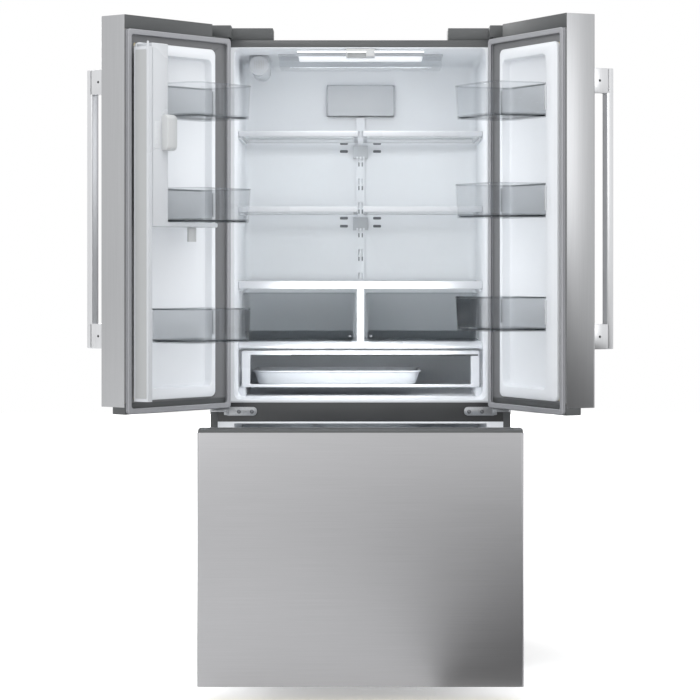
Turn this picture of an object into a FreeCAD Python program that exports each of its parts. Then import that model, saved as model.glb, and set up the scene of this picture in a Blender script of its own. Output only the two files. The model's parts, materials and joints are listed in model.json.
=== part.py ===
import FreeCAD, Part
import Sketcher
import math
import os
import re

# French door refrigerator with a bottom freezer drawer.
# Frame: +Z up, the front faces -Y, and the origin is on the floor under the middle of the
# cabinet's front plane. Each sub-part is built with the doors and drawer shut; its Placement
# then swings or slides it to the pose the part is kept in.

# ---------------------------------------------------------------- driving sizes (mm, degrees)
SIZES = {
    # cabinet
    "case_width": 832, "case_depth": 700, "case_top": 1743, "case_base": 28,
    "case_sheet": 1, "flange_width": 20, "liner_wall": 3, "pan_sheet": 2,
    "rail_bottom": 685, "rail_top": 743, "rail_depth": 28, "rail_sheet": 1.5,
    # fresh-food compartment: wall thicknesses and the levels of what stands in it
    "fridge_side": 68, "fridge_rear": 100, "fridge_roof": 23,
    "shelf_front": 177, "shelf_gap_back": 40, "shelf_thick": 16, "rib_depth": 8, "rib_drop": 6,
    "upper_shelf": 1485, "lower_shelf": 1270, "cover_shelf": 1052, "cover_thick": 22,
    "glass_thick": 4, "frame_rim": 12, "frame_seat": 5, "shelf_inner": 8,
    "deck_low": 883, "deck_high": 901, "divider_half": 10,
    "drawer_wall": 2.5, "crisper_height": 140, "pantry_low": 772, "pantry_height": 104,
    "pantry_front": 14, "spine_half": 12.5, "spine_depth": 12, "spine_low": 905,
    "duct_half": 101, "duct_height": 93, "duct_drop": 60, "duct_depth": 22,
    "light_half": 235, "light_drop": 6, "lamp_half": 180,
    "filter_side": 57, "filter_radius": 27, "filter_front": 210, "filter_length": 260,
    # freezer compartment
    "freezer_side": 66, "freezer_rear": 140, "freezer_floor": 75, "freezer_roof": 5,
    "freezer_lip": 40, "step_wall": 26, "step_rear": 50,
    # machine compartment
    "machine_depth": 220, "machine_top": 290,
    # doors
    "door_gap": 6, "door_thick": 89, "gasket_gap": 12, "door_rise": 32, "door_drop": 16,
    "skin_step": 19, "skin_sheet": 1, "skin_corner": 7, "skin_back": 2,
    "top_band": 37, "low_band": 30, "cap_split": 57,
    "panel_wall": 3, "plateau_rise": 7, "plateau_near": 38.8, "plateau_edge": 64,
    "plateau_foot": 35, "plateau_head": 70, "recess_deep": 18,
    "bin_near": 100.8, "bin_inset": 67, "bin_reach": 150, "bin_height": 91, "bin_wall": 2.5,
    "left_bin_high": 1508, "left_bin_mid": 1232, "left_bin_low": 913,
    "right_bin_high": 1510, "right_bin_mid": 1245, "right_bin_low": 944,
    "seal_width": 14, "seal_inset": 5, "seal_foot": 2, "seal_head": 5, "seal_gap": 1.2,
    "left_open": 128.4, "right_open": 115.5,
    # handles
    "handle_inset": 12, "handle_width": 25, "handle_depth": 20, "handle_stand": 42,
    "handle_low": 898, "handle_high": 1636, "handle_block": 66, "handle_round": 2.5,
    # hinges
    "pin_inset": 13.2, "pin_reach": 56.8, "pin_radius": 5, "notch_width": 70,
    "notch_gap": 1, "notch_front": 13, "hinge_plate": 5, "cover_rise": 34, "cover_wall": 2.5,
    "cover_length": 171, "cover_edge": 2, "knuckle_length": 59, "cover_back": 100,
    "cover_reach": 78, "boss_drop": 30, "foot_plate_length": 91,
    "foot_plate_edge": 38, "foot_plate_drop": 41, "foot_plate_height": 24,
    "foot_arm_drop": 11, "foot_arm_thick": 6, "pin_rise": 26, "screw_radius": 6, "screw_head": 3.5,
    # mullion flap between the doors
    "flap_pin": 29, "flap_pin_back": 9, "flap_pin_radius": 2.5, "flap_width": 50,
    "flap_tail": 5, "flap_thick": 16, "flap_drop": 8, "flap_ear": 4,
    "nib_radius": 3, "nib_place": 37, "nib_rise": 14, "guide_half": 40,
    "guide_height": 22,
    # dispenser on the left door
    "housing_low": 1224, "housing_drop": 20, "housing_reach": 53, "beam_thick": 12,
    "paddle_width": 30, "paddle_height": 38, "paddle_thick": 5, "paddle_back": 24,
    "paddle_place": 205,
    # freezer drawer
    "front_low": 45, "front_gap": 27, "front_trim": 8, "grip_front": 16, "grip_width": 38,
    "grip_deep": 22, "trim_height": 32, "plug_rise": 32, "plug_inset": 71,
    "drawer_out": 471, "rail_low": 330, "rail_high": 370, "rail_front": 22,
    "slide_thick": 8, "basket_low": 95, "basket_wall": 3,
    "tray_low": 480, "tray_high": 590, "tray_gap_back": 80,
    # works
    "compressor_radius": 78, "compressor_height": 165, "compressor_place": 215,
    "works_back": 110, "fan_radius": 62, "fan_hub": 16,
    "fan_shaft": 3, "fan_height": 125, "coil_near": 70, "coil_far": 330,
    "evaporator_half": 240, "evaporator_low": 345, "evaporator_high": 545,
    "cool_fan_height": 612, "cool_fan_radius": 46,
    "wheel_radius": 13, "wheel_width": 20, "wheel_inset": 86, "wheel_back_gap": 60,
    "foot_radius": 20, "foot_thick": 8, "foot_stud": 5, "foot_inset": 71, "foot_front": 62,
    # fits
    "bush_gap": 0.05, "running_gap": 0.05, "seat_gap": 0.3, "bin_gap": 0.3, "slide_gap": 0.3,
    "shelf_gap": 0.8,
}

# ---------------------------------------------------------------- sizes that follow from them
RULES = {
    "half": "case_width / 2", "inner": "case_width / 2 - case_sheet",
    "lip_half": "half - flange_width",
    "fridge_half": "half - fridge_side", "fridge_depth": "case_depth - fridge_rear",
    "fridge_floor": "rail_top + liner_wall", "fridge_ceiling": "case_top - fridge_roof",
    "shelf_back": "fridge_depth - shelf_gap_back", "crisper_back": "shelf_back - 15",
    "pantry_top": "pantry_low + pantry_height", "pantry_half": "fridge_half - rib_depth - 2",
    "duct_high": "fridge_ceiling - duct_drop", "duct_low": "duct_high - duct_height",
    "spine_high": "duct_low - 4", "filter_place": "fridge_half - filter_side",
    "freezer_half": "half - freezer_side", "freezer_depth": "case_depth - freezer_rear",
    "freezer_ceiling": "rail_bottom - freezer_roof", "freezer_step": "machine_top + step_wall",
    "machine_front": "case_depth - machine_depth", "works_middle": "case_depth - works_back",
    "freezer_foot_depth": "machine_front - step_rear",
    "door_back": "-gasket_gap", "door_front": "-gasket_gap - door_thick",
    "door_top": "case_top + door_rise", "door_low": "rail_top - door_drop",
    "skin_low": "door_low + skin_step", "cap_top_low": "door_top - top_band",
    "cap_low_high": "door_low + low_band", "pin_place": "half - pin_inset",
    "plateau_far": "half - plateau_edge", "plateau_low": "door_low + plateau_foot",
    "plateau_high": "door_top - plateau_head", "bin_far": "pin_place - bin_inset",
    "seal_low": "door_low + seal_foot", "seal_high": "case_top - seal_head",
    "notch_floor": "case_top - notch_gap", "notch_near": "half - notch_width",
    "cover_high": "case_top + cover_rise", "cover_far": "half - cover_edge",
    "cover_near": "cover_far - cover_length", "cover_knuckle": "cover_far - knuckle_length",
    "foot_plate_far": "half - foot_plate_edge",
    "foot_plate_near": "foot_plate_far - foot_plate_length",
    "foot_plate_low": "rail_top - foot_plate_drop",
    "foot_plate_high": "foot_plate_low + foot_plate_height",
    "foot_arm_low": "door_low - foot_arm_drop",
    "guide_low": "fridge_ceiling - guide_height", "flap_high": "guide_low - flap_drop",
    "flap_low": "plateau_low", "housing_high": "fridge_ceiling - housing_drop",
    "beam_low": "left_bin_mid - seat_gap - beam_thick",
    "front_high": "door_low - front_gap", "trim_low": "front_high - trim_height",
    "rail_back": "freezer_foot_depth", "basket_back": "freezer_foot_depth - 5",
    "rail_inner": "freezer_half - 3 * slide_thick - 2 * slide_gap",
    "basket_half": "rail_inner - 2", "tray_half": "freezer_half - 2",
    "tray_back": "freezer_depth - tray_gap_back",
    "wheel_place": "half - wheel_inset", "wheel_back": "case_depth - wheel_back_gap",
    "foot_place": "half - foot_inset",
}

# ---------------------------------------------------------------- document and small helpers
doc = FreeCAD.newDocument("refrigerator")
sheet = doc.addObject("Spreadsheet::Sheet", "Sizes")
for row, (word, number) in enumerate(SIZES.items(), start=1):
    sheet.set(f"A{row}", word.replace("_", " "))
    sheet.set(f"B{row}", str(number))
    sheet.setAlias(f"B{row}", word)
doc.recompute()

WORD = re.compile(r"[a-z][a-z_0-9]*")
NODES = {}


def spelled(match):
    """Returns a word as its cell in the sheet, or as the sum its rule gives."""
    word = match.group()
    if word in SIZES:
        return "Sizes." + word
    return f"({WORD.sub(spelled, RULES[word])})" if word in RULES else word


def linked(total):
    """Returns the sum with every size word pointing at its cell in the sheet."""
    return WORD.sub(spelled, str(total))


def box(name, x, y, z):
    """A block between two corners; x, y and z are (low, high) pairs of sums."""
    block = doc.addObject("Part::Box", name)
    for side, letter, (low, high) in (("Length", "x", x), ("Width", "y", y), ("Height", "z", z)):
        block.setExpression(side, linked(f"({high}) - ({low})"))
        block.setExpression("Placement.Base." + letter, linked(low))
    return block


TURNS = {
    "x": FreeCAD.Rotation(FreeCAD.Vector(0, 1, 0), 90),
    "y": FreeCAD.Rotation(FreeCAD.Vector(1, 0, 0), -90),
    "z": FreeCAD.Rotation(),
}


def rod(name, along, start, radius, length):
    """A round bar from start, a triple of sums, along the x, y or z axis."""
    bar = doc.addObject("Part::Cylinder", name)
    bar.Placement = FreeCAD.Placement(FreeCAD.Vector(), TURNS[along])
    bar.setExpression("Radius", linked(radius))
    bar.setExpression("Height", linked(length))
    for letter, total in zip("xyz", start):
        bar.setExpression("Placement.Base." + letter, linked(total))
    return bar


def join(name, *pieces):
    """One solid made of pieces that meet or overlap."""
    whole = doc.addObject("Part::MultiFuse", name)
    whole.Shapes = list(pieces)
    whole.Refine = True
    return whole


def cut(name, base, *tools):
    """The base with every tool taken away."""
    rest = doc.addObject("Part::Cut", name)
    rest.Base = base
    rest.Tool = tools[0] if len(tools) == 1 else join(name + "_tools", *tools)
    rest.Refine = True
    return rest


def group(name, *pieces):
    """Separate like pieces kept together as one sub-part."""
    together = doc.addObject("Part::Compound", name)
    together.Links = list(pieces)
    return together


def size(word):
    """Returns a number from the sheet."""
    return float(sheet.get(word))


def rounded(name, base, radius, picks):
    """The base with the edges that picks accepts rounded."""
    doc.recompute()
    soft = doc.addObject("Part::Fillet", name)
    soft.Base = base
    soft.Edges = [(i, radius, radius) for i, edge in enumerate(base.Shape.Edges, 1) if picks(edge)]
    return soft


def upright(edge):
    """True for a straight edge along z."""
    line = edge.BoundBox
    return line.ZLength > 1 and line.XLength < 0.01 and line.YLength < 0.01


def soft_block(name, x, y, z, grow=0):
    """A block with rounded upright front corners, to fit the folded fronts at a distance grow."""
    block = box(name + "_block", x, y, z)
    doc.recompute()
    front = block.Shape.BoundBox.YMin
    return rounded(name, block, size("skin_corner") - grow,
                   lambda edge: upright(edge) and edge.BoundBox.YMin < front + 1)


def folded_front(name, x, y, z):
    """A sheet folded round the front and both sides of a block, with rounded front corners."""
    inner = soft_block(name + "_inner", (f"{x[0]} + skin_sheet", f"{x[1]} - skin_sheet"),
                       (f"{y[0]} + skin_sheet", "0"), (f"{z[0]} - 1", f"{z[1]} + 1"), size("skin_sheet"))
    return cut(name + "_fold", soft_block(name + "_outer", x, y, z), inner)


def across(side, near, far):
    """The x span between two distances from the middle, on the left (-1) or the right (1)."""
    return (f"{near}", f"{far}") if side > 0 else (f"-({far})", f"-({near})")


def both(name, make):
    """The left and the right copy of a piece, as one sub-part."""
    return group(name, make(-1, name + "_l"), make(1, name + "_r"))


def keep(node, made, place=None):
    """Registers a finished sub-part, and binds its Placement to where it is kept."""
    made.Label = node
    for path, total in (place or {}).items():
        made.setExpression(path, linked(total))
    NODES[node] = made
    return made


def profile(name, plane, corners, start, length):
    """A body padded from an outline of corner sums on one of its own origin planes."""
    body = doc.addObject("PartDesign::Body", name)
    sketch = body.newObject("Sketcher::SketchObject", name + "_outline")
    base = [face for face in body.Origin.OriginFeatures if face.Role == plane][0]
    sketch.AttachmentSupport = [(base, "")]
    sketch.MapMode = "FlatFace"
    sketch.setExpression("AttachmentOffset.Base.z", linked(start))
    count = len(corners)
    ring = [math.tau * i / count for i in range(count)]
    spots = [FreeCAD.Vector(100 * math.cos(a), 100 * math.sin(a), 0) for a in ring]
    for i in range(count):
        sketch.addGeometry(Part.LineSegment(spots[i], spots[(i + 1) % count]), False)
    for i in range(count):
        sketch.addConstraint(Sketcher.Constraint("Coincident", i, 2, (i + 1) % count, 1))
    for i, (across_sum, up_sum) in enumerate(corners):
        for kind, total, now in (("DistanceX", across_sum, spots[i].x),
                                 ("DistanceY", up_sum, spots[i].y)):
            place = sketch.addConstraint(Sketcher.Constraint(kind, -1, 1, i, 1, now))
            sketch.setExpression(f"Constraints[{place}]", linked(total))
    pad = body.newObject("PartDesign::Pad", name + "_pad")
    pad.Profile = sketch
    pad.setExpression("Length", linked(length))
    body.Tip = pad
    return body



# ---------------------------------------------------------------- cabinet
keep("case_wrapper", cut(
    "wrapper",
    box("wrapper_outer", ("-half", "half"), ("0", "case_depth"), ("case_base", "case_top")),
    box("wrapper_room", ("-inner", "inner"), ("case_sheet", "case_depth + 1"),
        ("case_base - 1", "case_top - case_sheet")),
    box("wrapper_mouth", ("-lip_half", "lip_half"),
        ("-1", "case_sheet + 1"), ("case_base - 1", "case_top - flange_width"))))

keep("back_panel", box(
    "back", ("-inner", "inner"), ("case_depth - case_sheet", "case_depth"),
    ("machine_top + pan_sheet", "case_top - case_sheet")))


def roller_cheeks(side, name):
    """Two cheeks under the pan that hold a rear roller's axle."""
    edges = (("wheel_place - 4", "wheel_place - 1"),
             ("wheel_place + wheel_width + 1", "wheel_place + wheel_width + 4"))
    cheeks = [box(f"{name}_{i}", across(side, *edge), ("wheel_back - 9", "wheel_back + 9"),
                  ("wheel_radius - 6", "case_base")) for i, edge in enumerate(edges)]
    low = across(side, "wheel_place - 4", "wheel_place + wheel_width + 4")[0]
    axle = rod(name + "_axle", "x", (low, "wheel_back", "wheel_radius"), "fan_shaft",
               "wheel_width + 8")
    return join(name, *cheeks, axle)


fan_post = box("fan_post", ("6", "18"), ("works_middle - 9", "works_middle + 9"),
               ("case_base + pan_sheet", "fan_height"))
fan_motor = rod("fan_motor", "x", ("4", "works_middle", "fan_height"), "22", "24")
fan_axle = rod("fan_axle", "x", ("-22", "works_middle", "fan_height"), "fan_shaft", "30")
keep("base_frame", join(
    "pan",
    box("pan_floor", ("-inner", "inner"), ("case_sheet", "case_depth"),
        ("case_base", "case_base + pan_sheet")),
    box("pan_wall", ("-inner", "inner"), ("machine_front", "machine_front + pan_sheet"),
        ("case_base", "machine_top + pan_sheet")),
    box("pan_roof", ("-inner", "inner"), ("machine_front", "case_depth"),
        ("machine_top", "machine_top + pan_sheet")),
    roller_cheeks(-1, "cheeks_l"), roller_cheeks(1, "cheeks_r"), fan_post, fan_motor, fan_axle))

fridge_room = box("fridge_room", ("-fridge_half", "fridge_half"), ("-1", "fridge_depth"),
                  ("fridge_floor", "fridge_ceiling"))
fridge_tub = box("fridge_tub", ("-fridge_half - liner_wall", "fridge_half + liner_wall"),
                 ("0", "fridge_depth + liner_wall"),
                 ("fridge_floor - liner_wall", "fridge_ceiling + liner_wall"))
fridge_lip = box("fridge_lip", ("-lip_half", "lip_half"),
                 ("0", "liner_wall"), ("rail_top", "fridge_ceiling + liner_wall"))
LEVELS = ("upper_shelf", "lower_shelf", "cover_shelf", "deck_low")
ribs = []
for level in LEVELS:
    for side in (-1, 1):
        ribs.append(box(f"rib_{level}_{side + 1}",
                        across(side, "fridge_half - rib_depth", "fridge_half + 1"),
                        ("shelf_front + 20", "shelf_back"), (f"{level} - rib_drop", level)))
# The pantry drawer runs on two rails moulded into the compartment's floor.
runners = [box(f"pantry_runner_{side + 1}",
               across(side, "fridge_half - rib_depth - 12", "fridge_half - 0.5"),
               ("shelf_front + 20", "shelf_back"), ("fridge_floor", "pantry_low - seat_gap"))
           for side in (-1, 1)]
fridge_skin = cut("fridge_skin", join("fridge_blank", fridge_tub, fridge_lip), fridge_room)
keep("fridge_liner", join("fridge_shell", fridge_skin, *ribs, *runners))


def freezer_block(name, grow, front):
    """The freezer's stepped room, grown on every inner side by a wall."""
    low = box(name + "_low", (f"-freezer_half - {grow}", f"freezer_half + {grow}"),
              (front, f"freezer_foot_depth + {grow}"),
              (f"freezer_floor - {grow}", f"freezer_step + {grow}"))
    high = box(name + "_high", (f"-freezer_half - {grow}", f"freezer_half + {grow}"),
               (front, f"freezer_depth + {grow}"),
               (f"freezer_step - {grow}", f"freezer_ceiling + {grow}"))
    return join(name, low, high)


freezer_lip = box("freezer_lip_plate", ("-lip_half", "lip_half"),
                  ("0", "liner_wall"), ("freezer_lip", "rail_bottom"))
tray_ribs = [box(f"tray_rib_{side + 1}", across(side, "freezer_half - 12", "freezer_half + 1"),
                 ("rail_front", "tray_back"), ("tray_low - 10", "tray_low")) for side in (-1, 1)]
keep("freezer_liner", join(
    "freezer_shell",
    cut("freezer_skin", join("freezer_blank", freezer_block("freezer_tub", "liner_wall", "0"), freezer_lip),
        freezer_block("freezer_room", "0", "-1")), *tray_ribs))

keep("insulation", cut(
    "foam",
    box("foam_blank", ("-inner", "inner"), ("liner_wall", "case_depth - case_sheet"),
        ("case_base + pan_sheet", "case_top - case_sheet")),
    box("foam_fridge", ("-fridge_half - liner_wall", "fridge_half + liner_wall"),
        ("0", "fridge_depth + liner_wall"),
        ("fridge_floor - liner_wall", "fridge_ceiling + liner_wall")),
    freezer_block("foam_freezer", "liner_wall", "0"),
    box("foam_rail", ("-inner", "inner"), ("0", "rail_depth"), ("rail_bottom", "rail_top")),
    box("foam_machine", ("-half", "half"), ("machine_front", "case_depth"),
        ("case_base", "machine_top + pan_sheet"))))

keep("front_mullion", cut(
    "rail",
    box("rail_bar", ("-lip_half", "lip_half"), ("0", "rail_depth"),
        ("rail_bottom", "rail_top")),
    box("rail_hollow", ("-lip_half + rail_sheet", "lip_half - rail_sheet"),
        ("rail_sheet", "rail_depth + 1"), ("rail_bottom + rail_sheet", "rail_top - rail_sheet"))))

# ---------------------------------------------------------------- inside the fresh-food room
spine_cuts = []
for step in range(8):
    for side in (-1, 1):
        spine_cuts.append(box(
            f"rung_{step}_{side + 1}", across(side, "3", "7"),
            ("fridge_depth - spine_depth - 1", "fridge_depth - 4"),
            (f"spine_high - 60 - {step} * 71", f"spine_high - 40 - {step} * 71")))
spine = cut("spine", box("spine_bar", ("-spine_half", "spine_half"),
                         ("fridge_depth - spine_depth", "fridge_depth"), ("spine_low", "spine_high")),
            *spine_cuts)
vents = [box(f"vent_{i}", (f"{i} * 34 - 85 - 11", f"{i} * 34 - 85 + 11"),
             ("fridge_depth - duct_depth - 1", "fridge_depth - 8"),
             ("duct_low + 8", "duct_low + 14")) for i in range(6)]
duct = cut("duct", box("duct_panel", ("-duct_half", "duct_half"),
                       ("fridge_depth - duct_depth", "fridge_depth"), ("duct_low", "duct_high")), *vents)
keep("air_duct", group("air_parts", spine, duct))

keep("ceiling_light", group(
    "lights",
    box("lamp", ("-lamp_half", "lamp_half"), ("150", "164"),
        ("fridge_ceiling - light_drop - 3", "fridge_ceiling")),
    box("diffuser", ("-light_half", "light_half"), ("190", "330"),
        ("fridge_ceiling - light_drop", "fridge_ceiling"))))

keep("mullion_guide", cut(
    "guide", box("guide_block", ("-guide_half", "guide_half"), ("2", "70"),
                 ("guide_low", "fridge_ceiling")),
    box("guide_track", ("-flap_pin - nib_radius - 4", "nib_place - flap_pin + nib_radius + 4"),
        ("-1", "flap_pin_back + nib_place + nib_radius + 4"), ("guide_low - 1", "guide_low + 14"))))

keep("water_filter", join(
    "filter", rod("filter_body", "y",
                  ("-filter_place", "filter_front", "fridge_ceiling - filter_radius - 3"),
                  "filter_radius", "filter_length"),
    box("filter_saddle", ("-filter_place - filter_radius", "filter_radius - filter_place"),
        ("filter_front + 24", "filter_front + filter_length"),
        ("fridge_ceiling - filter_radius - 3", "fridge_ceiling"))))


def shelf(name, x, low, thick):
    """A shelf's frame with a seat for its glass, and the glass."""
    high = f"{low} + {thick}"
    blank = box(name + "_blank", x, ("shelf_front", "shelf_back"), (low, high))
    hole = box(name + "_hole", (f"{x[0]} + frame_rim", f"{x[1]} - frame_rim"),
               ("shelf_front + frame_rim", "shelf_back - frame_rim"), (f"{low} - 1", f"{high} + 1"))
    seat = box(name + "_seat", (f"{x[0]} + frame_seat", f"{x[1]} - frame_seat"),
               ("shelf_front + frame_seat", "shelf_back - frame_seat"),
               (f"{high} - glass_thick - 1", f"{high} + 1"))
    pane = box(name + "_pane", (f"{x[0]} + frame_seat + seat_gap", f"{x[1]} - frame_seat - seat_gap"),
               ("shelf_front + frame_seat + seat_gap", "shelf_back - frame_seat - seat_gap"),
               (f"{high} - glass_thick - 1", f"{high} - 1"))
    return cut(name, blank, hole, seat), pane


frames, panes = [], []
for level in ("upper_shelf", "lower_shelf"):
    for side in (-1, 1):
        frame_part, pane_part = shelf(f"{level}_{side + 1}",
                                      across(side, "shelf_inner", "fridge_half - shelf_gap"),
                                      level, "shelf_thick")
        frames.append(frame_part)
        panes.append(pane_part)
cover_frame, cover_pane = shelf("crisper_cover", ("-fridge_half + shelf_gap", "fridge_half - shelf_gap"),
                                "cover_shelf", "cover_thick")
keep("shelf_frames", group("frames", *frames, cover_frame))
keep("shelf_glass", group("glasses", *panes, cover_pane))

deck = profile("deck", "YZ_Plane",
               (("shelf_front - 6", "deck_low"), ("shelf_back", "deck_low"), ("shelf_back", "deck_high"),
                ("shelf_front + 14", "deck_high"), ("shelf_front - 6", "deck_low + 6")),
               "-fridge_half + shelf_gap", "2 * (fridge_half - shelf_gap)")
deck_rail = box("deck_rail", ("-divider_half", "divider_half"), ("shelf_front + 8", "shelf_back"),
                ("deck_high - 1", "cover_shelf"))
deck_bulge = box("deck_bulge", ("-divider_half", "divider_half"),
                 ("shelf_front - 4", "shelf_front + 9"), ("deck_high - 10", "deck_high + 46"))
keep("crisper_frame", join("crisper_rack", deck, deck_rail, deck_bulge))

for side, node in ((-1, "left_crisper"), (1, "right_crisper")):
    span = ("divider_half + 4", "fridge_half - rib_depth - 4")
    tub = box(node + "_tub", across(side, *span), ("shelf_front + 2", "crisper_back"),
              ("deck_high + seat_gap", "deck_high + seat_gap + crisper_height"))
    room = box(node + "_room", across(side, f"{span[0]} + drawer_wall", f"{span[1]} - drawer_wall"),
               ("shelf_front + 2 + 3 * drawer_wall", "crisper_back - drawer_wall"),
               ("deck_high + seat_gap + drawer_wall", "deck_high + crisper_height + 5"))
    grip = box(node + "_grip", across(side, f"{span[0]} + 30", f"{span[1]} - 30"),
               ("shelf_front - 8", "shelf_front + 3"), ("deck_high + 22", "deck_high + 32"))
    keep(node, join(node + "_bin", cut(node + "_open", tub, room), grip))

keep("pantry_drawer", cut(
    "pantry",
    box("pantry_tub", ("-pantry_half", "pantry_half"), ("shelf_front", "crisper_back"),
        ("pantry_low", "pantry_top")),
    box("pantry_room", ("-(pantry_half - drawer_wall)", "pantry_half - drawer_wall"),
        ("shelf_front + pantry_front", "crisper_back - drawer_wall"),
        ("pantry_low + drawer_wall", "pantry_top + 1")),
    box("pantry_window", ("-(pantry_half - 22)", "pantry_half - 22"),
        ("shelf_front - 1", "shelf_front + 6"), ("pantry_low + 16", "pantry_top - 14"))))
# ---------------------------------------------------------------- hinges on the cabinet


def top_hinge(side, name):
    """A plate screwed to the case top, with the pin that the door hangs on."""
    plate = box(name + "_plate", across(side, "cover_near + 12", "cover_knuckle + 16"), ("18", "82"),
                ("case_top", "case_top + hinge_plate"))
    arm = box(name + "_arm", across(side, "cover_knuckle + 12", "pin_place + pin_radius + 1.5"),
              ("-pin_reach - 9", "82"), ("case_top", "case_top + hinge_plate"))
    pin = rod(name + "_pin", "z", (f"{side} * pin_place", "-pin_reach", "notch_floor - boss_drop + 4"),
              "pin_radius", "case_top - notch_floor + boss_drop - 4 + hinge_plate")
    return join(name, plate, arm, pin)


keep("top_hinges", both("top_hinge", top_hinge))


def hinge_cover(side, name):
    """A thin cap over the hinge plate and its pin."""
    parts = {}
    for part, grow in (("outer", "0"), ("inner", "cover_wall")):
        top = f"cover_high - {grow}"
        low = "case_top" if part == "outer" else "case_top - 1"
        main = box(f"{name}_{part}_main", across(side, f"cover_near + {grow}", f"cover_far - {grow}"),
                   (f"6 + {grow}", f"cover_back - {grow}"), (low, top))
        nose = box(f"{name}_{part}_nose", across(side, f"cover_knuckle + {grow}", f"cover_far - {grow}"),
                   (f"-cover_reach + {grow}", f"cover_back - {grow}"), (low, top))
        parts[part] = join(f"{name}_{part}", main, nose)
    return cut(name, parts["outer"], parts["inner"])


keep("hinge_covers", both("hinge_cover", hinge_cover))


def foot_hinge(side, name):
    """A plate on the rail's front with an arm and a pin under the door."""
    plate = box(name + "_plate", across(side, "foot_plate_near", "foot_plate_far"), ("-4", "0"),
                ("foot_plate_low", "foot_plate_high"))
    arm = box(name + "_arm", across(side, "foot_plate_far - 12", "half - 2"),
              ("-pin_reach - 11", "0"), ("foot_arm_low", "foot_arm_low + foot_arm_thick"))
    washer = rod(name + "_washer", "z", (f"{side} * pin_place", "-pin_reach", "foot_arm_low"),
                 "pin_radius + 4", "door_low - seat_gap - foot_arm_low")
    pin = rod(name + "_pin", "z", (f"{side} * pin_place", "-pin_reach", "foot_arm_low"), "pin_radius",
              "pin_rise + foot_arm_thick")
    return join(name, plate, arm, washer, pin)


keep("bottom_hinges", both("bottom_hinge", foot_hinge))

screws = []
for side in (-1, 1):
    for i in range(3):
        screws.append(rod(f"top_screw_{side + 1}_{i}", "z",
                          (f"{side} * (cover_near + 30 + {i} * 32)", "50", "case_top + hinge_plate"),
                          "screw_radius", "screw_head"))
    for i in range(2):
        screws.append(rod(f"foot_screw_{side + 1}_{i}", "y",
                          (f"{side} * (foot_plate_near + 14 + {i} * 36)", "-4 - screw_head",
                           "foot_plate_low + 11"), "screw_radius", "screw_head"))
keep("hinge_screws", group("screws", *screws))

# ---------------------------------------------------------------- works at the back
compressor_can = rod("compressor_can", "z", ("compressor_place", "works_middle", "case_base + 24"),
                     "compressor_radius", "compressor_height")
doc.recompute()
soft_can = doc.addObject("Part::Fillet", "compressor_shell")
soft_can.Base = compressor_can
soft_can.Edges = [(i, 32, 32) for i, edge in enumerate(compressor_can.Shape.Edges, 1)
                  if edge.BoundBox.ZLength < 0.01]
keep("compressor", join(
    "pump", soft_can,
    box("pump_plate", ("compressor_place - 96", "compressor_place + 96"),
        ("works_middle - 60", "works_middle + 60"), ("case_base + 14", "case_base + 40")),
    *[rod(f"pump_foot_{i}{j}", "z", (f"compressor_place + {i} * 84", f"works_middle + {j} * 48",
                                     "case_base + pan_sheet"), "9", "16")
      for i in (-1, 1) for j in (-1, 1)]))

FIN_COUNT = 13
fins = []
for i in range(FIN_COUNT):
    depth = ("machine_front + 22", "case_depth - 32")
    if i in (0, FIN_COUNT - 1):  # the end plates stand on the pan's rim
        depth = ("machine_front + 8", "case_depth - 14")
    fins.append(box(f"condenser_fin_{i}", (f"-coil_near - {i} * 20 - 2", f"-coil_near - {i} * 20"),
                    depth, ("case_base + 26", "case_base + 190")))
tubes = [rod(f"condenser_tube_{i}{j}", "x", ("-coil_near - 244", f"machine_front + 52 + {i} * 42",
                                            f"case_base + 52 + {j} * 38"), "4", "246")
         for i in range(4) for j in range(4)]
keep("condenser", join("condenser_coil", *fins, *tubes))

keep("drip_pan", cut(
    "pan_tray",
    box("pan_outer", ("-coil_far", "-coil_near + 12"), ("machine_front + 8", "case_depth - 14"),
        ("case_base + pan_sheet", "case_base + 26")),
    box("pan_inner", ("-coil_far + 2", "-coil_near + 10"), ("machine_front + 10", "case_depth - 16"),
        ("case_base + pan_sheet + 2", "case_base + 30"))))

slots = [box(f"cover_slot_{i}_{side + 1}", across(side, "60", "330"),
             ("case_depth - 4", "case_depth + 1"),
             (f"case_base + 40 + {i} * 28", f"case_base + 50 + {i} * 28"))
         for i in range(8) for side in (-1, 1)]
keep("machine_cover", cut(
    "rear_cover", box("rear_cover_plate", ("-inner", "inner"), ("case_depth - 2", "case_depth"),
                      ("case_base + pan_sheet", "machine_top")), *slots))

cool_fins = [box(f"cool_fin_{i}", (f"-evaporator_half + {i} * 40", f"-evaporator_half + {i} * 40 + 2"),
                 ("freezer_depth - 42", "freezer_depth - seat_gap"), ("evaporator_low", "evaporator_high"))
             for i in range(13)]
cool_tubes = [rod(f"cool_tube_{i}", "x", ("-evaporator_half", "freezer_depth - 22",
                                          f"evaporator_low + 20 + {i} * 32"), "4", "2 * evaporator_half")
              for i in range(6)]
keep("evaporator", join("evaporator_coil", *cool_fins, *cool_tubes))

cover_vents = [box(f"cold_vent_{i}", (f"{i} * 60 - 180 - 22", f"{i} * 60 - 180 + 22"),
                   ("tray_back + 10", "tray_back + 26"), ("freezer_ceiling - 30", "freezer_ceiling - 22"))
               for i in range(7)]
cover_plate = cut("cold_plate", box(
    "cold_plate_blank", ("-freezer_half + 1", "freezer_half - 1"), ("tray_back + 14", "tray_back + 18"),
    ("freezer_step + seat_gap", "freezer_ceiling - seat_gap")), *cover_vents)
keep("evaporator_cover", join(
    "cold_cover", cover_plate,
    rod("cold_motor", "y", ("0", "tray_back + 17", "cool_fan_height"), "18", "14"),
    rod("cold_shaft", "y", ("0", "tray_back + 17", "cool_fan_height"), "fan_shaft", "38")))


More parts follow.
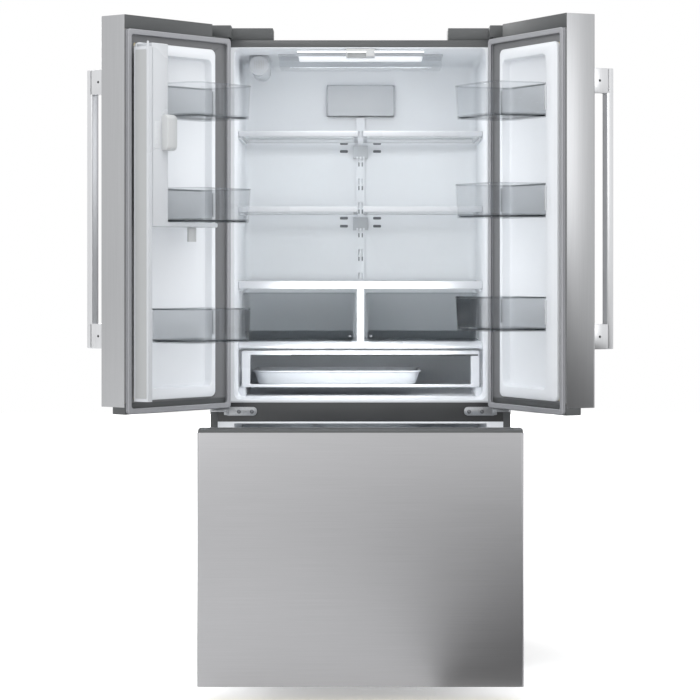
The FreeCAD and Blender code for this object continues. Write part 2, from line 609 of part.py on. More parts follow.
def fan(name, along, start, radius, hub, depth, blades):
    """A hub with a bore for its shaft and a ring of slanted blades."""
    core = rod(name + "_hub", along, start, hub, depth)
    bore = rod(name + "_bore", along, start, "fan_shaft + running_gap", depth)
    turn_axis = FreeCAD.Vector(*[1 if letter == along else 0 for letter in "xyz"])
    slant = FreeCAD.Vector(0, 0, 1)
    vanes = []
    for i in range(blades):
        vane = doc.addObject("Part::Box", f"{name}_blade_{i}")
        vane.setExpression("Height", linked(f"{radius} - {hub} + 4"))
        vane.setExpression("Length" if along == "y" else "Width", linked(f"{hub} * 1.5"))
        vane.setExpression("Width" if along == "y" else "Length", "2")
        spin = FreeCAD.Rotation(turn_axis, 360 * i / blades)
        lean = FreeCAD.Rotation(slant, 28)
        vane.Placement = FreeCAD.Placement(FreeCAD.Vector(), spin.multiply(lean))
        reach = spin.multVec(FreeCAD.Vector(0, 0, 1))
        for letter, total, part in zip("xyz", start, reach):
            middle = f"({total}) + ({depth}) / 2" if letter == along else f"({total})"
            vane.setExpression("Placement.Base." + letter, linked(f"{middle} + ({hub} - 4) * {part:.6f}"))
        vanes.append(vane)
    return cut(name, join(name + "_wheel", core, *vanes), bore)


keep("condenser_fan", fan("warm_fan", "x", ("-22", "works_middle", "fan_height"), "fan_radius",
                          "fan_hub", "20", 5))
keep("evaporator_fan", fan("cold_fan", "y", ("0", "tray_back + 33", "cool_fan_height"),
                           "cool_fan_radius", "12", "18", 4))

keep("control_board", join(
    "board_box", box("board_case", ("-110", "110"), ("560", "690"), ("case_top", "case_top + 22")),
    *[rod(f"board_screw_{i}", "z", (f"{i} * 95", "572", "case_top + 21"), "4", "4") for i in (-1, 1)]))
keep("power_inlet", cut(
    "gland", join("gland_body", rod("gland_nut", "y", ("370", "case_depth", "case_base + 60"), "11", "6"),
                  rod("gland_neck", "y", ("370", "case_depth", "case_base + 60"), "7.5", "12")),
    rod("gland_hole", "y", ("370", "case_depth + 3", "case_base + 60"), "4.5", "12")))


def levelling_foot(side, name):
    """A screw-in front foot."""
    place = (f"{side} * foot_place", "foot_front")
    return join(name, rod(name + "_pad", "z", (*place, "0"), "foot_radius", "foot_thick"),
                rod(name + "_stud", "z", (*place, "foot_thick - 1"), "foot_stud",
                    "case_base - foot_thick + 1"))


keep("levelling_feet", both("foot", levelling_foot))


def roller(side, name):
    """A rear roller on its axle."""
    low = across(side, "wheel_place", "wheel_place + wheel_width")[0]
    start = (low, "wheel_back", "wheel_radius")
    return cut(name, rod(name + "_tyre", "x", start, "wheel_radius", "wheel_width"),
               rod(name + "_bore", "x", start, "fan_shaft + running_gap", "wheel_width"))


keep("rear_rollers", both("roller", roller))


def slide_member(order, name, front):
    """The left and right members of one stage of the freezer drawer's slides."""
    outer = f"freezer_half - {order} * (slide_thick + slide_gap)"
    return group(name, *[box(f"{name}_{side + 1}", across(side, f"{outer} - slide_thick", outer),
                             (front, "rail_back"), ("rail_low", "rail_high")) for side in (-1, 1)])


SLIDE_Y = "Placement.Base.y"
keep("drawer_rails_outer", slide_member(0, "slide_outer", "rail_front"))
keep("drawer_rails_middle", slide_member(1, "slide_middle", "rail_front"), {SLIDE_Y: "-drawer_out / 2"})
keep("drawer_rails_inner", slide_member(2, "slide_inner", "plug_rise - gasket_gap"),
     {SLIDE_Y: "-drawer_out"})

# ---------------------------------------------------------------- freezer drawer
keep("drawer_skin", folded_front("front", ("-half", "half"), ("door_front", "door_back - skin_back"),
                                 ("front_low", "front_high - front_trim")), {SLIDE_Y: "-drawer_out"})

trim_inner = soft_block("trim_inner", ("-(half - skin_sheet)", "half - skin_sheet"),
                        ("door_front + skin_sheet", "door_back"),
                        ("trim_low", "front_high - front_trim + 1"), size("skin_sheet"))
trim_top = profile("trim_top", "YZ_Plane",
                   (("door_front + 2", "front_high - front_trim"), ("door_back", "front_high - front_trim"),
                    ("door_back", "front_high"), ("door_front + 8", "front_high"),
                    ("door_front + 2", "front_high - 4")), "-(half - 2)", "2 * (half - 2)")
grip_room = box("grip_room", ("-(half - 24)", "half - 24"),
                ("door_front + grip_front", "door_front + grip_front + grip_width"),
                ("front_high - grip_deep", "front_high + 1"))
keep("drawer_grip_trim", cut("trim", join("trim_blank", trim_inner, trim_top), grip_room),
     {SLIDE_Y: "-drawer_out"})

plug_room = (("-(half - plug_inset)", "half - plug_inset"),
             ("door_back - panel_wall", "door_back + plug_rise"),
             ("front_low + 45", "trim_low - 10"))
keep("drawer_foam", group("front_foam", soft_block(
    "front_core", ("-(half - skin_sheet)", "half - skin_sheet"),
    ("door_front + skin_sheet", "door_back - panel_wall"), ("front_low", "trim_low"),
    size("skin_sheet"))), {SLIDE_Y: "-drawer_out"})
keep("drawer_liner", cut(
    "front_panel",
    join("front_panel_blank",
         box("front_panel_flat", ("-(half - 2)", "half - 2"),
             ("door_back - panel_wall", "door_back"), ("front_low", "trim_low")),
         box("front_plug", *plug_room)),
    box("front_plug_hollow", ("-(half - plug_inset - panel_wall)", "half - plug_inset - panel_wall"),
        ("door_back - panel_wall - 1", "door_back + plug_rise - panel_wall"),
        ("front_low + 45 + panel_wall", "trim_low - 10 - panel_wall"))), {SLIDE_Y: "-drawer_out"})


def seal(name, x, z):
    """A gasket ring on the back of a door or drawer front."""
    ring = box(name + "_outer", x, ("door_back", "-seal_gap"), z)
    hole = box(name + "_hole", (f"{x[0]} + seal_width", f"{x[1]} - seal_width"), ("-gasket_gap - 1", "1"),
               (f"{z[0]} + seal_width", f"{z[1]} - seal_width"))
    return cut(name, ring, hole)


keep("drawer_gasket", seal("front_seal", ("-(half - seal_inset)", "half - seal_inset"),
                           ("front_low + 12", "front_high - 2")), {SLIDE_Y: "-drawer_out"})

basket_tub = box("basket_tub", ("-basket_half", "basket_half"),
                 ("plug_rise - gasket_gap + 4", "basket_back"),
                 ("basket_low", "rail_high + seat_gap + basket_wall"))
basket_rim = box("basket_rim", ("-(rail_inner + slide_thick)", "rail_inner + slide_thick"),
                 ("plug_rise - gasket_gap + 4", "basket_back"),
                 ("rail_high + seat_gap", "rail_high + seat_gap + basket_wall"))
basket_room = box("basket_room", ("-(basket_half - basket_wall)", "basket_half - basket_wall"),
                  ("plug_rise - gasket_gap + 4 + basket_wall", "basket_back - basket_wall"),
                  ("basket_low + basket_wall", "rail_high + 20"))
keep("freezer_basket", cut("basket", join("basket_blank", basket_tub, basket_rim), basket_room),
     {SLIDE_Y: "-drawer_out"})

keep("freezer_tray", cut(
    "tray",
    box("tray_tub", ("-tray_half", "tray_half"), ("rail_front + 8", "tray_back"),
        ("tray_low + seat_gap", "tray_high")),
    box("tray_room", ("-(tray_half - basket_wall)", "tray_half - basket_wall"),
        ("rail_front + 8 + basket_wall", "tray_back - basket_wall"),
        ("tray_low + seat_gap + basket_wall", "tray_high + 1"))))


# ---------------------------------------------------------------- doors
def swing(side):
    """The Placement that turns a door's sub-part about its pin by its own opening angle."""
    angle = "left_open" if side < 0 else "right_open"
    return {"Placement": f"placement(vector(0;0;0); rotation(vector(0;0;1); {side} * {angle}); "
                         f"vector({side} * pin_place; -pin_reach; 0))"}


def hinge_notch(side, name):
    """The room at a door's upper hinge corner for the fixed plate and its cover."""
    return box(name, across(side, "notch_near", "half + 1"), ("door_front + notch_front", "0"),
               ("notch_floor", "door_top + 1"))


def door_skin(side, name):
    """The folded steel front with its two edges."""
    fold = folded_front(name, across(side, "door_gap / 2", "half"),
                        ("door_front", "door_back - skin_back"), ("skin_low", "door_top"))
    return cut(name + "_notched", fold, hinge_notch(side, name + "_notch"))


def door_caps(side, name):
    """The top cap with its hinge boss, and the bottom cap."""
    span = across(side, "door_gap / 2 + skin_sheet", "half - skin_sheet")
    inside = "door_front + skin_sheet"
    lid = cut(name + "_lid", soft_block(name + "_lid_blank", span, (inside, "door_back"),
                                        ("cap_top_low", "door_top"), size("skin_sheet")),
              hinge_notch(side, name + "_notch"))
    boss = box(name + "_boss", across(side, "pin_place - 14", "half - skin_sheet"),
               ("-pin_reach - 14", "-pin_reach + 14"), ("notch_floor - boss_drop", "notch_floor"))
    bore = rod(name + "_bore", "z", (f"{side} * pin_place", "-pin_reach", "notch_floor - boss_drop - 1"),
               "pin_radius + bush_gap", "boss_drop + 2")
    top = cut(name + "_top", join(name + "_top_blank", lid, boss), bore)
    back_foot = box(name + "_foot_back", span, ("-cap_split", "door_back"), ("door_low", "cap_low_high"))
    front_foot = soft_block(name + "_foot_front", span, (inside, "-cap_split"),
                            ("skin_low", "cap_low_high"), size("skin_sheet"))
    boss_foot = box(name + "_foot_boss", across(side, "pin_place - 12", "half - skin_sheet"),
                    ("-pin_reach - 12", "-cap_split + 1"), ("door_low", "skin_low + 1"))
    hole = rod(name + "_hole", "z", (f"{side} * pin_place", "-pin_reach", "door_low - 1"),
               "pin_radius + bush_gap", "cap_low_high - door_low + 2")
    foot = cut(name + "_foot", join(name + "_foot_blank", back_foot, front_foot, boss_foot), hole)
    return group(name, top, foot)


def recess(side, name, grow):
    """The sunk room that the bins hook into, grown by a wall."""
    return box(name, across(side, f"bin_near - bin_gap - {grow}", f"bin_far + bin_gap + {grow}"),
               (f"door_back - recess_deep - {grow}", "1"),
               (f"plateau_low + 30 - {grow}", f"plateau_high - 30 + {grow}"))


def door_foam(side, name):
    """The foam between the skin and the inner panel."""
    blank = soft_block(name + "_blank", across(side, "door_gap / 2 + skin_sheet", "half - skin_sheet"),
                       ("door_front + skin_sheet", "door_back - panel_wall"),
                       ("cap_low_high", "cap_top_low"), size("skin_sheet"))
    boss = box(name + "_boss", across(side, "pin_place - 14", "half - skin_sheet"),
               ("-pin_reach - 14", "-pin_reach + 14"), ("notch_floor - boss_drop", "notch_floor"))
    return cut(name, blank, boss, recess(side, name + "_recess", "panel_wall"))


def door_panel(side, name):
    """The moulded inner panel: a flat rim, a raised field and the sunk room for the bins."""
    flat = box(name + "_flat", across(side, "door_gap / 2 + skin_sheet", "half - skin_sheet"),
               ("door_back - panel_wall", "door_back"), ("cap_low_high", "cap_top_low"))
    field = box(name + "_field", across(side, "plateau_near", "plateau_far"),
                ("door_back", "door_back + plateau_rise"), ("plateau_low", "plateau_high"))
    dish = recess(side, name + "_dish", "panel_wall")
    proud = box(name + "_dish_front", across(side, "0", "half"), ("door_back", "5"),
                ("plateau_low", "plateau_high"))
    dish_cut = cut(name + "_dish_trim", dish, proud)
    panel = cut(name + "_shell", join(name + "_blank", flat, field, dish_cut),
                recess(side, name + "_room", "0"))
    if side > 0:
        return panel
    ears = []
    for end, low in (("low", "flap_low - seat_gap - flap_ear"), ("high", "flap_high + seat_gap")):
        ears.append(box(f"{name}_ear_{end}", across(side, "flap_pin - 7", "plateau_near + 1"),
                        ("door_back - 1", "flap_pin_back + 5"), (low, f"{low} + flap_ear")))
    pins = [rod(name + "_pin_low", "z", ("-flap_pin", "flap_pin_back", "flap_low - seat_gap - 1"),
                "flap_pin_radius", "12"),
            rod(name + "_pin_high", "z", ("-flap_pin", "flap_pin_back", "flap_high + seat_gap - 11"),
                "flap_pin_radius", "12")]
    return join(name, panel, *ears, *pins)


def door_bin(side, name, low):
    """A clear tub that hooks into the sunk room."""
    tub = box(name + "_tub", across(side, "bin_near", "bin_far"),
              ("door_back - recess_deep + bin_gap", "bin_reach"), (low, f"{low} + bin_height"))
    room = box(name + "_room", across(side, "bin_near + bin_wall", "bin_far - bin_wall"),
               ("door_back - recess_deep + bin_gap + bin_wall", "bin_reach - bin_wall"),
               (f"{low} + bin_wall", f"{low} + bin_height + 1"))
    return cut(name, tub, room)


def door_handle(side, name):
    """A flat bar on two solid end blocks."""
    span = across(side, "door_gap / 2 + handle_inset", "door_gap / 2 + handle_inset + handle_width")
    back = "door_front - handle_stand"
    bar = box(name + "_bar", span, (f"{back} - handle_depth", back), ("handle_low", "handle_high"))
    soft = rounded(name + "_soft", bar, size("handle_round"), upright)
    blocks = [box(f"{name}_block_{i}", span, (f"{back} - handle_depth / 2", "door_front"), z)
              for i, z in enumerate((("handle_low", "handle_low + handle_block"),
                                     ("handle_high - handle_block", "handle_high")))]
    return join(name, soft, *blocks)


for side, word in ((-1, "left"), (1, "right")):
    door = swing(side)
    keep(f"{word}_door_skin", door_skin(side, word + "_skin"), door)
    keep(f"{word}_door_caps", door_caps(side, word + "_caps"), door)
    keep(f"{word}_door_foam", door_foam(side, word + "_foam"), door)
    keep(f"{word}_door_liner", door_panel(side, word + "_panel"), door)
    keep(f"{word}_door_gasket", seal(word + "_seal",
                                     across(side, "door_gap / 2 + seal_inset - 3", "half - seal_inset"),
                                     ("seal_low", "seal_high")), door)
    keep(f"{word}_door_handle", door_handle(side, word + "_handle"), door)
    bins = [door_bin(side, f"{word}_bin_{i}", f"{word}_bin_{level}") for i, level in
            enumerate(("high", "mid", "low"))]
    keep(f"{word}_door_bins", group(word + "_bins", *bins), door)

keep("dispenser_housing", join(
    "housing",
    box("housing_block", across(-1, "plateau_near + 1.2", "bin_near - 1"),
        ("door_back + plateau_rise", "housing_reach"), ("housing_low", "housing_high")),
    box("housing_beam", across(-1, "bin_near - 2", "bin_far - 40"),
        ("door_back + plateau_rise", "housing_reach"), ("beam_low", "beam_low + beam_thick")),
    box("housing_stem", across(-1, "plateau_near + 1.2", "bin_near"),
        ("door_back + plateau_rise", "housing_reach"), ("beam_low", "housing_low + 1"))), swing(-1))
keep("dispenser_paddle", join(
    "paddle",
    box("paddle_blade", across(-1, "paddle_place", "paddle_place + paddle_width"),
        ("paddle_back", "paddle_back + paddle_thick"),
        ("beam_low - seat_gap - paddle_height", "beam_low - seat_gap - 2")),
    rod("paddle_roll", "x", ("-paddle_place - paddle_width", "paddle_back + paddle_thick / 2",
                             "beam_low - seat_gap - paddle_thick / 2"), "paddle_thick / 2",
        "paddle_width")), swing(-1))

# The flap is kept folded back, square to its door.
flap_bar = box("flap_bar", ("-flap_pin - flap_thick / 2", "-flap_pin + flap_thick / 2"),
               ("flap_pin_back - flap_tail", "flap_pin_back + flap_width - flap_tail"),
               ("flap_low", "flap_high"))
flap_bores = [rod(f"flap_bore_{i}", "z", ("-flap_pin", "flap_pin_back", low),
                  "flap_pin_radius + running_gap", "14")
              for i, low in enumerate(("flap_low - 1", "flap_high - 13"))]
flap_nib = rod("flap_nib", "z", ("-flap_pin", "flap_pin_back + nib_place", "flap_high - 1"), "nib_radius",
               "nib_rise + 1")
keep("mullion_flap", join("flap", cut("flap_body", flap_bar, *flap_bores), flap_nib), swing(-1))

# ---------------------------------------------------------------- check and export
doc.recompute()
for thing in doc.Objects:
    if {"Invalid", "Error"} & set(thing.State):
        raise RuntimeError(f"{thing.Name} failed: {thing.State}")
for node, made in NODES.items():
    if made.Shape.isNull() or not made.Shape.isValid() or not made.Shape.Solids:
        raise RuntimeError(f"{node} has no sound shape")
os.makedirs("parts", exist_ok=True)
for node, made in NODES.items():
    made.Shape.exportStep(f"parts/{node}.step")
    print(f"{node}: {len(made.Shape.Solids)} solid(s), {made.Shape.Volume / 1000:.1f} cm3")
print(len(NODES), "sub-parts")
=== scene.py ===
"""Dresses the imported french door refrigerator: finer shapes and procedural finishes.

The camera, lights and floor come from Studio. Each sub-assembly is a class that keeps its own
sizes, builds its meshes in millimetres and hands them over in the model's metres.
"""
from __future__ import annotations

import json
import logging
import math
from dataclasses import dataclass, field
from enum import Enum

import bmesh
import bpy
from mathutils import Matrix, Vector

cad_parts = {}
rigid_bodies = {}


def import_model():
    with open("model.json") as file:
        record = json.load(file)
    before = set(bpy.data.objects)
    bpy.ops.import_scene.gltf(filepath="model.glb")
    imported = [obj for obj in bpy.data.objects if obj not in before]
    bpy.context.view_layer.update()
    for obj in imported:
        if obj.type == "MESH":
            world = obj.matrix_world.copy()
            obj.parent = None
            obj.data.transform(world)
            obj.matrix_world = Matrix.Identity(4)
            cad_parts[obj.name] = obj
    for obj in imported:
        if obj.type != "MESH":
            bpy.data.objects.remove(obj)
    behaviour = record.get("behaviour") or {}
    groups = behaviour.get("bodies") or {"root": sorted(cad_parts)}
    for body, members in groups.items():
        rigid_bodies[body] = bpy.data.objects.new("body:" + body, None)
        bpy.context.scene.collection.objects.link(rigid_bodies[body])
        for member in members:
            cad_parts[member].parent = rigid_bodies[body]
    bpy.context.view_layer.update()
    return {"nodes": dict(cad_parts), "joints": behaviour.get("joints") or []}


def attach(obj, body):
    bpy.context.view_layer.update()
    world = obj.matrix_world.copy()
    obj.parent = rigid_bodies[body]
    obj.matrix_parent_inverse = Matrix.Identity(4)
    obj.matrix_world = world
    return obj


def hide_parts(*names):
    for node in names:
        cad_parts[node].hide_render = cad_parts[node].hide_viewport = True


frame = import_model()

MM = 0.001
LOG = logging.getLogger("refrigerator")
Span = tuple[float, float]
Colour = tuple[int, int, int]
Point = tuple[float, float, float]


# ---------------------------------------------------------------- finishes
class Grain(Enum):
    """Which way the brush marks of a metal sheet run."""

    UPRIGHT = (900.0, 900.0, 5.0)
    LEVEL = (5.0, 5.0, 900.0)


def linear(colour: Colour) -> tuple[float, float, float, float]:
    """Turns a display colour into the shader's own light values.

    Args:
        colour: Red, green and blue from 0 to 255.

    Returns:
        Linear red, green, blue and a full alpha.
    """
    parts = [c / 255 for c in colour]
    return (*[p / 12.92 if p < 0.04045 else ((p + 0.055) / 1.055) ** 2.4 for p in parts], 1.0)


class Graph:
    """A material's node tree with one surface shader and a few short ways to feed it."""

    def __init__(self, name: str) -> None:
        """Starts an empty material with its shader, output and object coordinates."""
        self.material = bpy.data.materials.new(name)
        self.material.use_nodes = True
        self.tree = self.material.node_tree
        self.tree.nodes.clear()
        self.shader = self.add("ShaderNodeBsdfPrincipled")
        output = self.add("ShaderNodeOutputMaterial")
        self.tree.links.new(self.shader.outputs[0], output.inputs["Surface"])
        self.coords = self.add("ShaderNodeTexCoord").outputs["Object"]

    def add(self, kind: str, **settings: object) -> bpy.types.Node:
        """Adds a node and sets its properties."""
        node = self.tree.nodes.new(kind)
        for name, value in settings.items():
            setattr(node, name, value)
        return node

    def feed(self, node: bpy.types.Node, **values: object) -> bpy.types.Node:
        """Sets or links a node's inputs by name.

        Args:
            node: The node to feed.
            values: Input names with spaces written as underscores, and a number or a socket.

        Returns:
            The same node.
        """
        for name, value in values.items():
            socket = node.inputs[name.replace("_", " ")]
            if isinstance(value, bpy.types.NodeSocket):
                self.tree.links.new(value, socket)
            else:
                socket.default_value = value
        return node

    def stretched(self, scale: Point) -> bpy.types.NodeSocket:
        """Returns the object coordinates scaled along each axis."""
        node = self.add("ShaderNodeMapping")
        return self.feed(node, Vector=self.coords, Scale=scale).outputs[0]

    def noise(self, scale: float, detail: float = 3.0,
              vector: bpy.types.NodeSocket | None = None) -> bpy.types.NodeSocket:
        """Returns a smooth random value over the surface."""
        node = self.add("ShaderNodeTexNoise")
        return self.feed(node, Vector=vector or self.coords, Scale=scale, Detail=detail).outputs[0]

    def cells(self, scale: float) -> bpy.types.NodeSocket:
        """Returns the distance to the nearest of many random points."""
        node = self.add("ShaderNodeTexVoronoi")
        return self.feed(node, Vector=self.coords, Scale=scale).outputs["Distance"]

    def range(self, value: bpy.types.NodeSocket, low: float, high: float) -> bpy.types.NodeSocket:
        """Returns a random value spread from low to high."""
        node = self.add("ShaderNodeMapRange")
        self.feed(node, Value=value, From_Min=0.3, From_Max=0.7, To_Min=low, To_Max=high)
        return node.outputs[0]

    def tint(self, value: bpy.types.NodeSocket, colour: Colour, change: float) -> None:
        """Colours the shader between a darker and a lighter shade of one colour."""
        node = self.add("ShaderNodeMix", data_type="RGBA")
        base = linear(colour)
        for socket, factor in ((node.inputs[6], 1 - change), (node.inputs[7], 1 + change)):
            socket.default_value = (*[min(1.0, c * factor) for c in base[:3]], 1.0)
        self.tree.links.new(self.range(value, 0.0, 1.0), node.inputs[0])
        self.tree.links.new(node.outputs[2], self.shader.inputs["Base Color"])

    def bump(self, value: bpy.types.NodeSocket, depth: float, strength: float = 1.0) -> None:
        """Lifts the surface by a value; depth is in metres."""
        node = self.add("ShaderNodeBump")
        self.feed(node, Height=value, Distance=depth, Strength=strength)
        self.tree.links.new(node.outputs[0], self.shader.inputs["Normal"])


@dataclass(frozen=True)
class Brushed:
    """Brushed sheet or bar metal, with fine marks along one direction."""

    name: str
    colour: Colour
    grain: Grain = Grain.LEVEL
    rough: Span = (0.27, 0.4)

    def build(self) -> bpy.types.Material:
        """Makes the material."""
        graph = Graph(self.name)
        marks = graph.noise(1.0, 4.0, graph.stretched(self.grain.value))
        graph.tint(marks, self.colour, 0.045)
        graph.feed(graph.shader, Metallic=1.0, Roughness=graph.range(marks, *self.rough))
        graph.bump(marks, 0.00001, 0.4)
        return graph.material


@dataclass(frozen=True)
class Painted:
    """Painted or powder-coated metal with a faint orange peel."""

    name: str
    colour: Colour
    rough: Span = (0.36, 0.46)
    peel: float = 0.00004

    def build(self) -> bpy.types.Material:
        """Makes the material."""
        graph = Graph(self.name)
        patches = graph.noise(6.0, 4.0)
        graph.tint(patches, self.colour, 0.04)
        graph.feed(graph.shader, Roughness=graph.range(patches, *self.rough))
        graph.feed(graph.shader, Coat_Weight=0.1)
        graph.bump(graph.noise(420.0, 2.0), self.peel)
        return graph.material


@dataclass(frozen=True)
class Moulded:
    """Moulded plastic with a fine spark-eroded skin and soft tone changes."""

    name: str
    colour: Colour
    rough: Span = (0.3, 0.4)
    pebble: float = 0.00002
    change: float = 0.015

    def build(self) -> bpy.types.Material:
        """Makes the material."""
        graph = Graph(self.name)
        patches = graph.noise(4.0, 3.0)
        graph.tint(patches, self.colour, self.change)
        graph.feed(graph.shader, Roughness=graph.range(graph.noise(3.0, 2.0), *self.rough))
        graph.bump(graph.noise(900.0, 2.0), self.pebble)
        return graph.material


@dataclass(frozen=True)
class Clear:
    """Clear moulded plastic or glass that lets the room behind show through."""

    name: str
    colour: Colour
    rough: Span = (0.0, 0.02)
    bend: float = 1.08
    cover: float = 0.12

    def build(self) -> bpy.types.Material:
        """Makes the material."""
        graph = Graph(self.name)
        flow = graph.noise(9.0, 2.0)
        graph.tint(flow, self.colour, 0.01)
        graph.feed(graph.shader, Roughness=graph.range(flow, *self.rough))
        graph.feed(graph.shader, Transmission_Weight=1.0, IOR=self.bend, Alpha=self.cover)
        graph.bump(flow, 0.0001)
        return graph.material


@dataclass(frozen=True)
class Rough:
    """Foam, rubber, cast or spangled surfaces whose grain is a pattern of cells."""

    name: str
    colour: Colour
    grain: float = 300.0
    depth: float = 0.0002
    rough: Span = (0.6, 0.8)
    change: float = 0.08
    metal: float = 0.0

    def build(self) -> bpy.types.Material:
        """Makes the material."""
        graph = Graph(self.name)
        cells = graph.cells(self.grain)
        graph.tint(cells, self.colour, self.change)
        graph.feed(graph.shader, Roughness=graph.range(graph.noise(40.0), *self.rough))
        graph.feed(graph.shader, Metallic=self.metal)
        graph.bump(cells, self.depth)
        return graph.material


@dataclass(frozen=True)
class Glowing:
    """A frosted lamp cover that shines softly."""

    name: str
    colour: Colour
    power: float = 0.6

    def build(self) -> bpy.types.Material:
        """Makes the material."""
        graph = Graph(self.name)
        frost = graph.noise(700.0, 2.0)
        graph.tint(frost, self.colour, 0.02)
        graph.feed(graph.shader, Roughness=graph.range(frost, 0.4, 0.6))
        graph.feed(graph.shader, Emission_Color=linear(self.colour), Emission_Strength=self.power)
        graph.bump(frost, 0.00004)
        return graph.material


FINISHED: dict[str, bpy.types.Material] = {}


class Look(Enum):
    """Every finish on the refrigerator."""

    STEEL = Brushed("brushed_steel", (178, 178, 180), Grain.LEVEL, (0.4, 0.46))
    STEEL_UPRIGHT = Brushed("brushed_steel_upright", (178, 179, 181), Grain.UPRIGHT, (0.3, 0.36))
    SATIN = Brushed("satin_handle", (216, 217, 219), Grain.UPRIGHT, (0.28, 0.34))
    CASE = Painted("case_paint", (80, 82, 83))
    RAIL = Painted("rail_paint", (56, 57, 58))
    ZINC = Rough("zinc_sheet", (168, 171, 174), 60.0, 0.00002, (0.35, 0.5), 0.07, 0.9)
    HINGE = Rough("hinge_steel", (178, 180, 183), 240.0, 0.00003, (0.3, 0.42), 0.05, 0.85)
    # Darker steel so the heads read as dark dots: partly their own tone, partly painted shade of
    # their recesses.
    SCREW = Rough("screw_steel", (118, 120, 123), 300.0, 0.00003, (0.3, 0.4), 0.06, 0.9)
    DARK_TRIM = Moulded("dark_trim", (78, 80, 81), (0.42, 0.52))
    MID_TRIM = Moulded("mid_trim", (112, 113, 115), (0.4, 0.5))
    SEAL = Rough("seal_rubber", (150, 151, 155), 500.0, 0.00004, (0.5, 0.62), 0.03)
    LIGHT_TRIM = Moulded("light_trim", (192, 194, 195))
    FLAP = Moulded("flap_face", (168, 170, 171), (0.4, 0.5))
    LINER = Moulded("liner_plastic", (231, 234, 238), (0.34, 0.4))
    WHITE = Moulded("white_trim", (197, 200, 204), (0.24, 0.34))
    DOOR_LINER = Moulded("door_liner", (229, 232, 236), (0.34, 0.4))
    PANEL = Moulded("control_panel", (205, 208, 211), (0.2, 0.28))
    CLEAR = Clear("clear_plastic", (190, 198, 204))
    SMOKE = Clear("grey_clear_plastic", (186, 194, 200), (0.02, 0.06), 1.08, 0.16)
    GLASS = Clear("shelf_glass", (226, 242, 237), (0.0, 0.02), 1.1, 0.14)
    LAMP = Glowing("lamp_cover", (252, 253, 255))
    BLACK = Moulded("black_plastic", (34, 35, 37), (0.38, 0.5))
    # A grey that stands in for the shade inside the spine slots and small vents (painted shade); the
    # crisper latches wear it too.
    SLOT = Moulded("slot_shade", (112, 115, 120), (0.6, 0.7))
    IRON = Rough("black_iron", (30, 31, 33), 180.0, 0.00008, (0.4, 0.55), 0.2)
    COIL = Rough("coil_metal", (150, 153, 156), 400.0, 0.00003, (0.32, 0.45), 0.08, 0.9)
    COPPER = Rough("copper_tube", (184, 112, 74), 300.0, 0.00003, (0.28, 0.4), 0.1, 1.0)
    FOAM = Rough("foam", (228, 214, 168), 260.0, 0.0006)

    @property
    def material(self) -> bpy.types.Material:
        """The Blender material of this finish, made when first asked for."""
        if self.name not in FINISHED:
            FINISHED[self.name] = self.value.build()
        return FINISHED[self.name]


# ---------------------------------------------------------------- places
@dataclass(frozen=True)
class Place:
    """Where a body stands at rest against where it stands shut; sizes are read shut."""

    body: str
    shut_to_rest: Matrix = field(default_factory=Matrix)

    @classmethod
    def of_joint(cls, body: str, joint_name: str, matrix_of: Matrix | None = None) -> Place:
        """Reads a body's place from the joint that opens it.

        Args:
            body: The body's name.
            joint_name: The joint whose low limit is the shut pose.
            matrix_of: The parent's own move, where the parent is open too.

        Returns:
            The body's place.
        """
        joint = next(j for j in frame["joints"] if j["name"] == joint_name)
        axis = Vector(joint["axis"]).normalized()
        low = joint["range_deg" if joint["type"] == "hinge" else "range_m"][0]
        if joint["type"] == "hinge":
            pin = Vector(joint["pos_m"])
            turn = Matrix.Rotation(-math.radians(low), 4, axis)
            move = Matrix.Translation(pin) @ turn @ Matrix.Translation(-pin)
        else:
            move = Matrix.Translation(-axis * low)
        return cls(body, (matrix_of or Matrix()) @ move)

    def box(self, *nodes: str) -> tuple[Span, Span, Span]:
        """Returns the x, y and z spans of CAD nodes in millimetres, with the body shut."""
        back = self.shut_to_rest.inverted()
        points = [back @ v.co for n in nodes for v in frame["nodes"][n].data.vertices]
        spans = [(min(p[i] for p in points) / MM, max(p[i] for p in points) / MM) for i in range(3)]
        return spans[0], spans[1], spans[2]


CABINET = Place("cabinet")


# ---------------------------------------------------------------- shapes
def rounded_rectangle(x: Span, y: Span, radius: float, steps: int = 5) -> list[tuple[float, float]]:
    """Returns the outline of a rectangle with round corners, anticlockwise."""
    radius = min(radius, (x[1] - x[0]) / 2 - 0.01, (y[1] - y[0]) / 2 - 0.01)
    corners = ((x[1] - radius, y[1] - radius, 0), (x[0] + radius, y[1] - radius, 90),
               (x[0] + radius, y[0] + radius, 180), (x[1] - radius, y[0] + radius, 270))
    outline = []
    for cx, cy, start in corners:
        for i in range(steps + 1):
            angle = math.radians(start + 90 * i / steps)
            outline.append((cx + radius * math.cos(angle), cy + radius * math.sin(angle)))
    return outline


def mirrored(side: int, near: float, far: float) -> Span:
    """Returns an x span measured from the middle, on the left (-1) or right (+1) side."""
    return (near, far) if side > 0 else (-far, -near)


class Axis(Enum):
    """The axis that an outline is drawn across; its members put outline points in space."""

    X = "x"
    Y = "y"
    Z = "z"

    def point(self, u: float, v: float, depth: float) -> Vector:
        """Returns the point at (u, v) on the plane across this axis, depth along it."""
        return {Axis.X: Vector((depth, u, v)), Axis.Y: Vector((u, depth, v)),
                Axis.Z: Vector((u, v, depth))}[self]


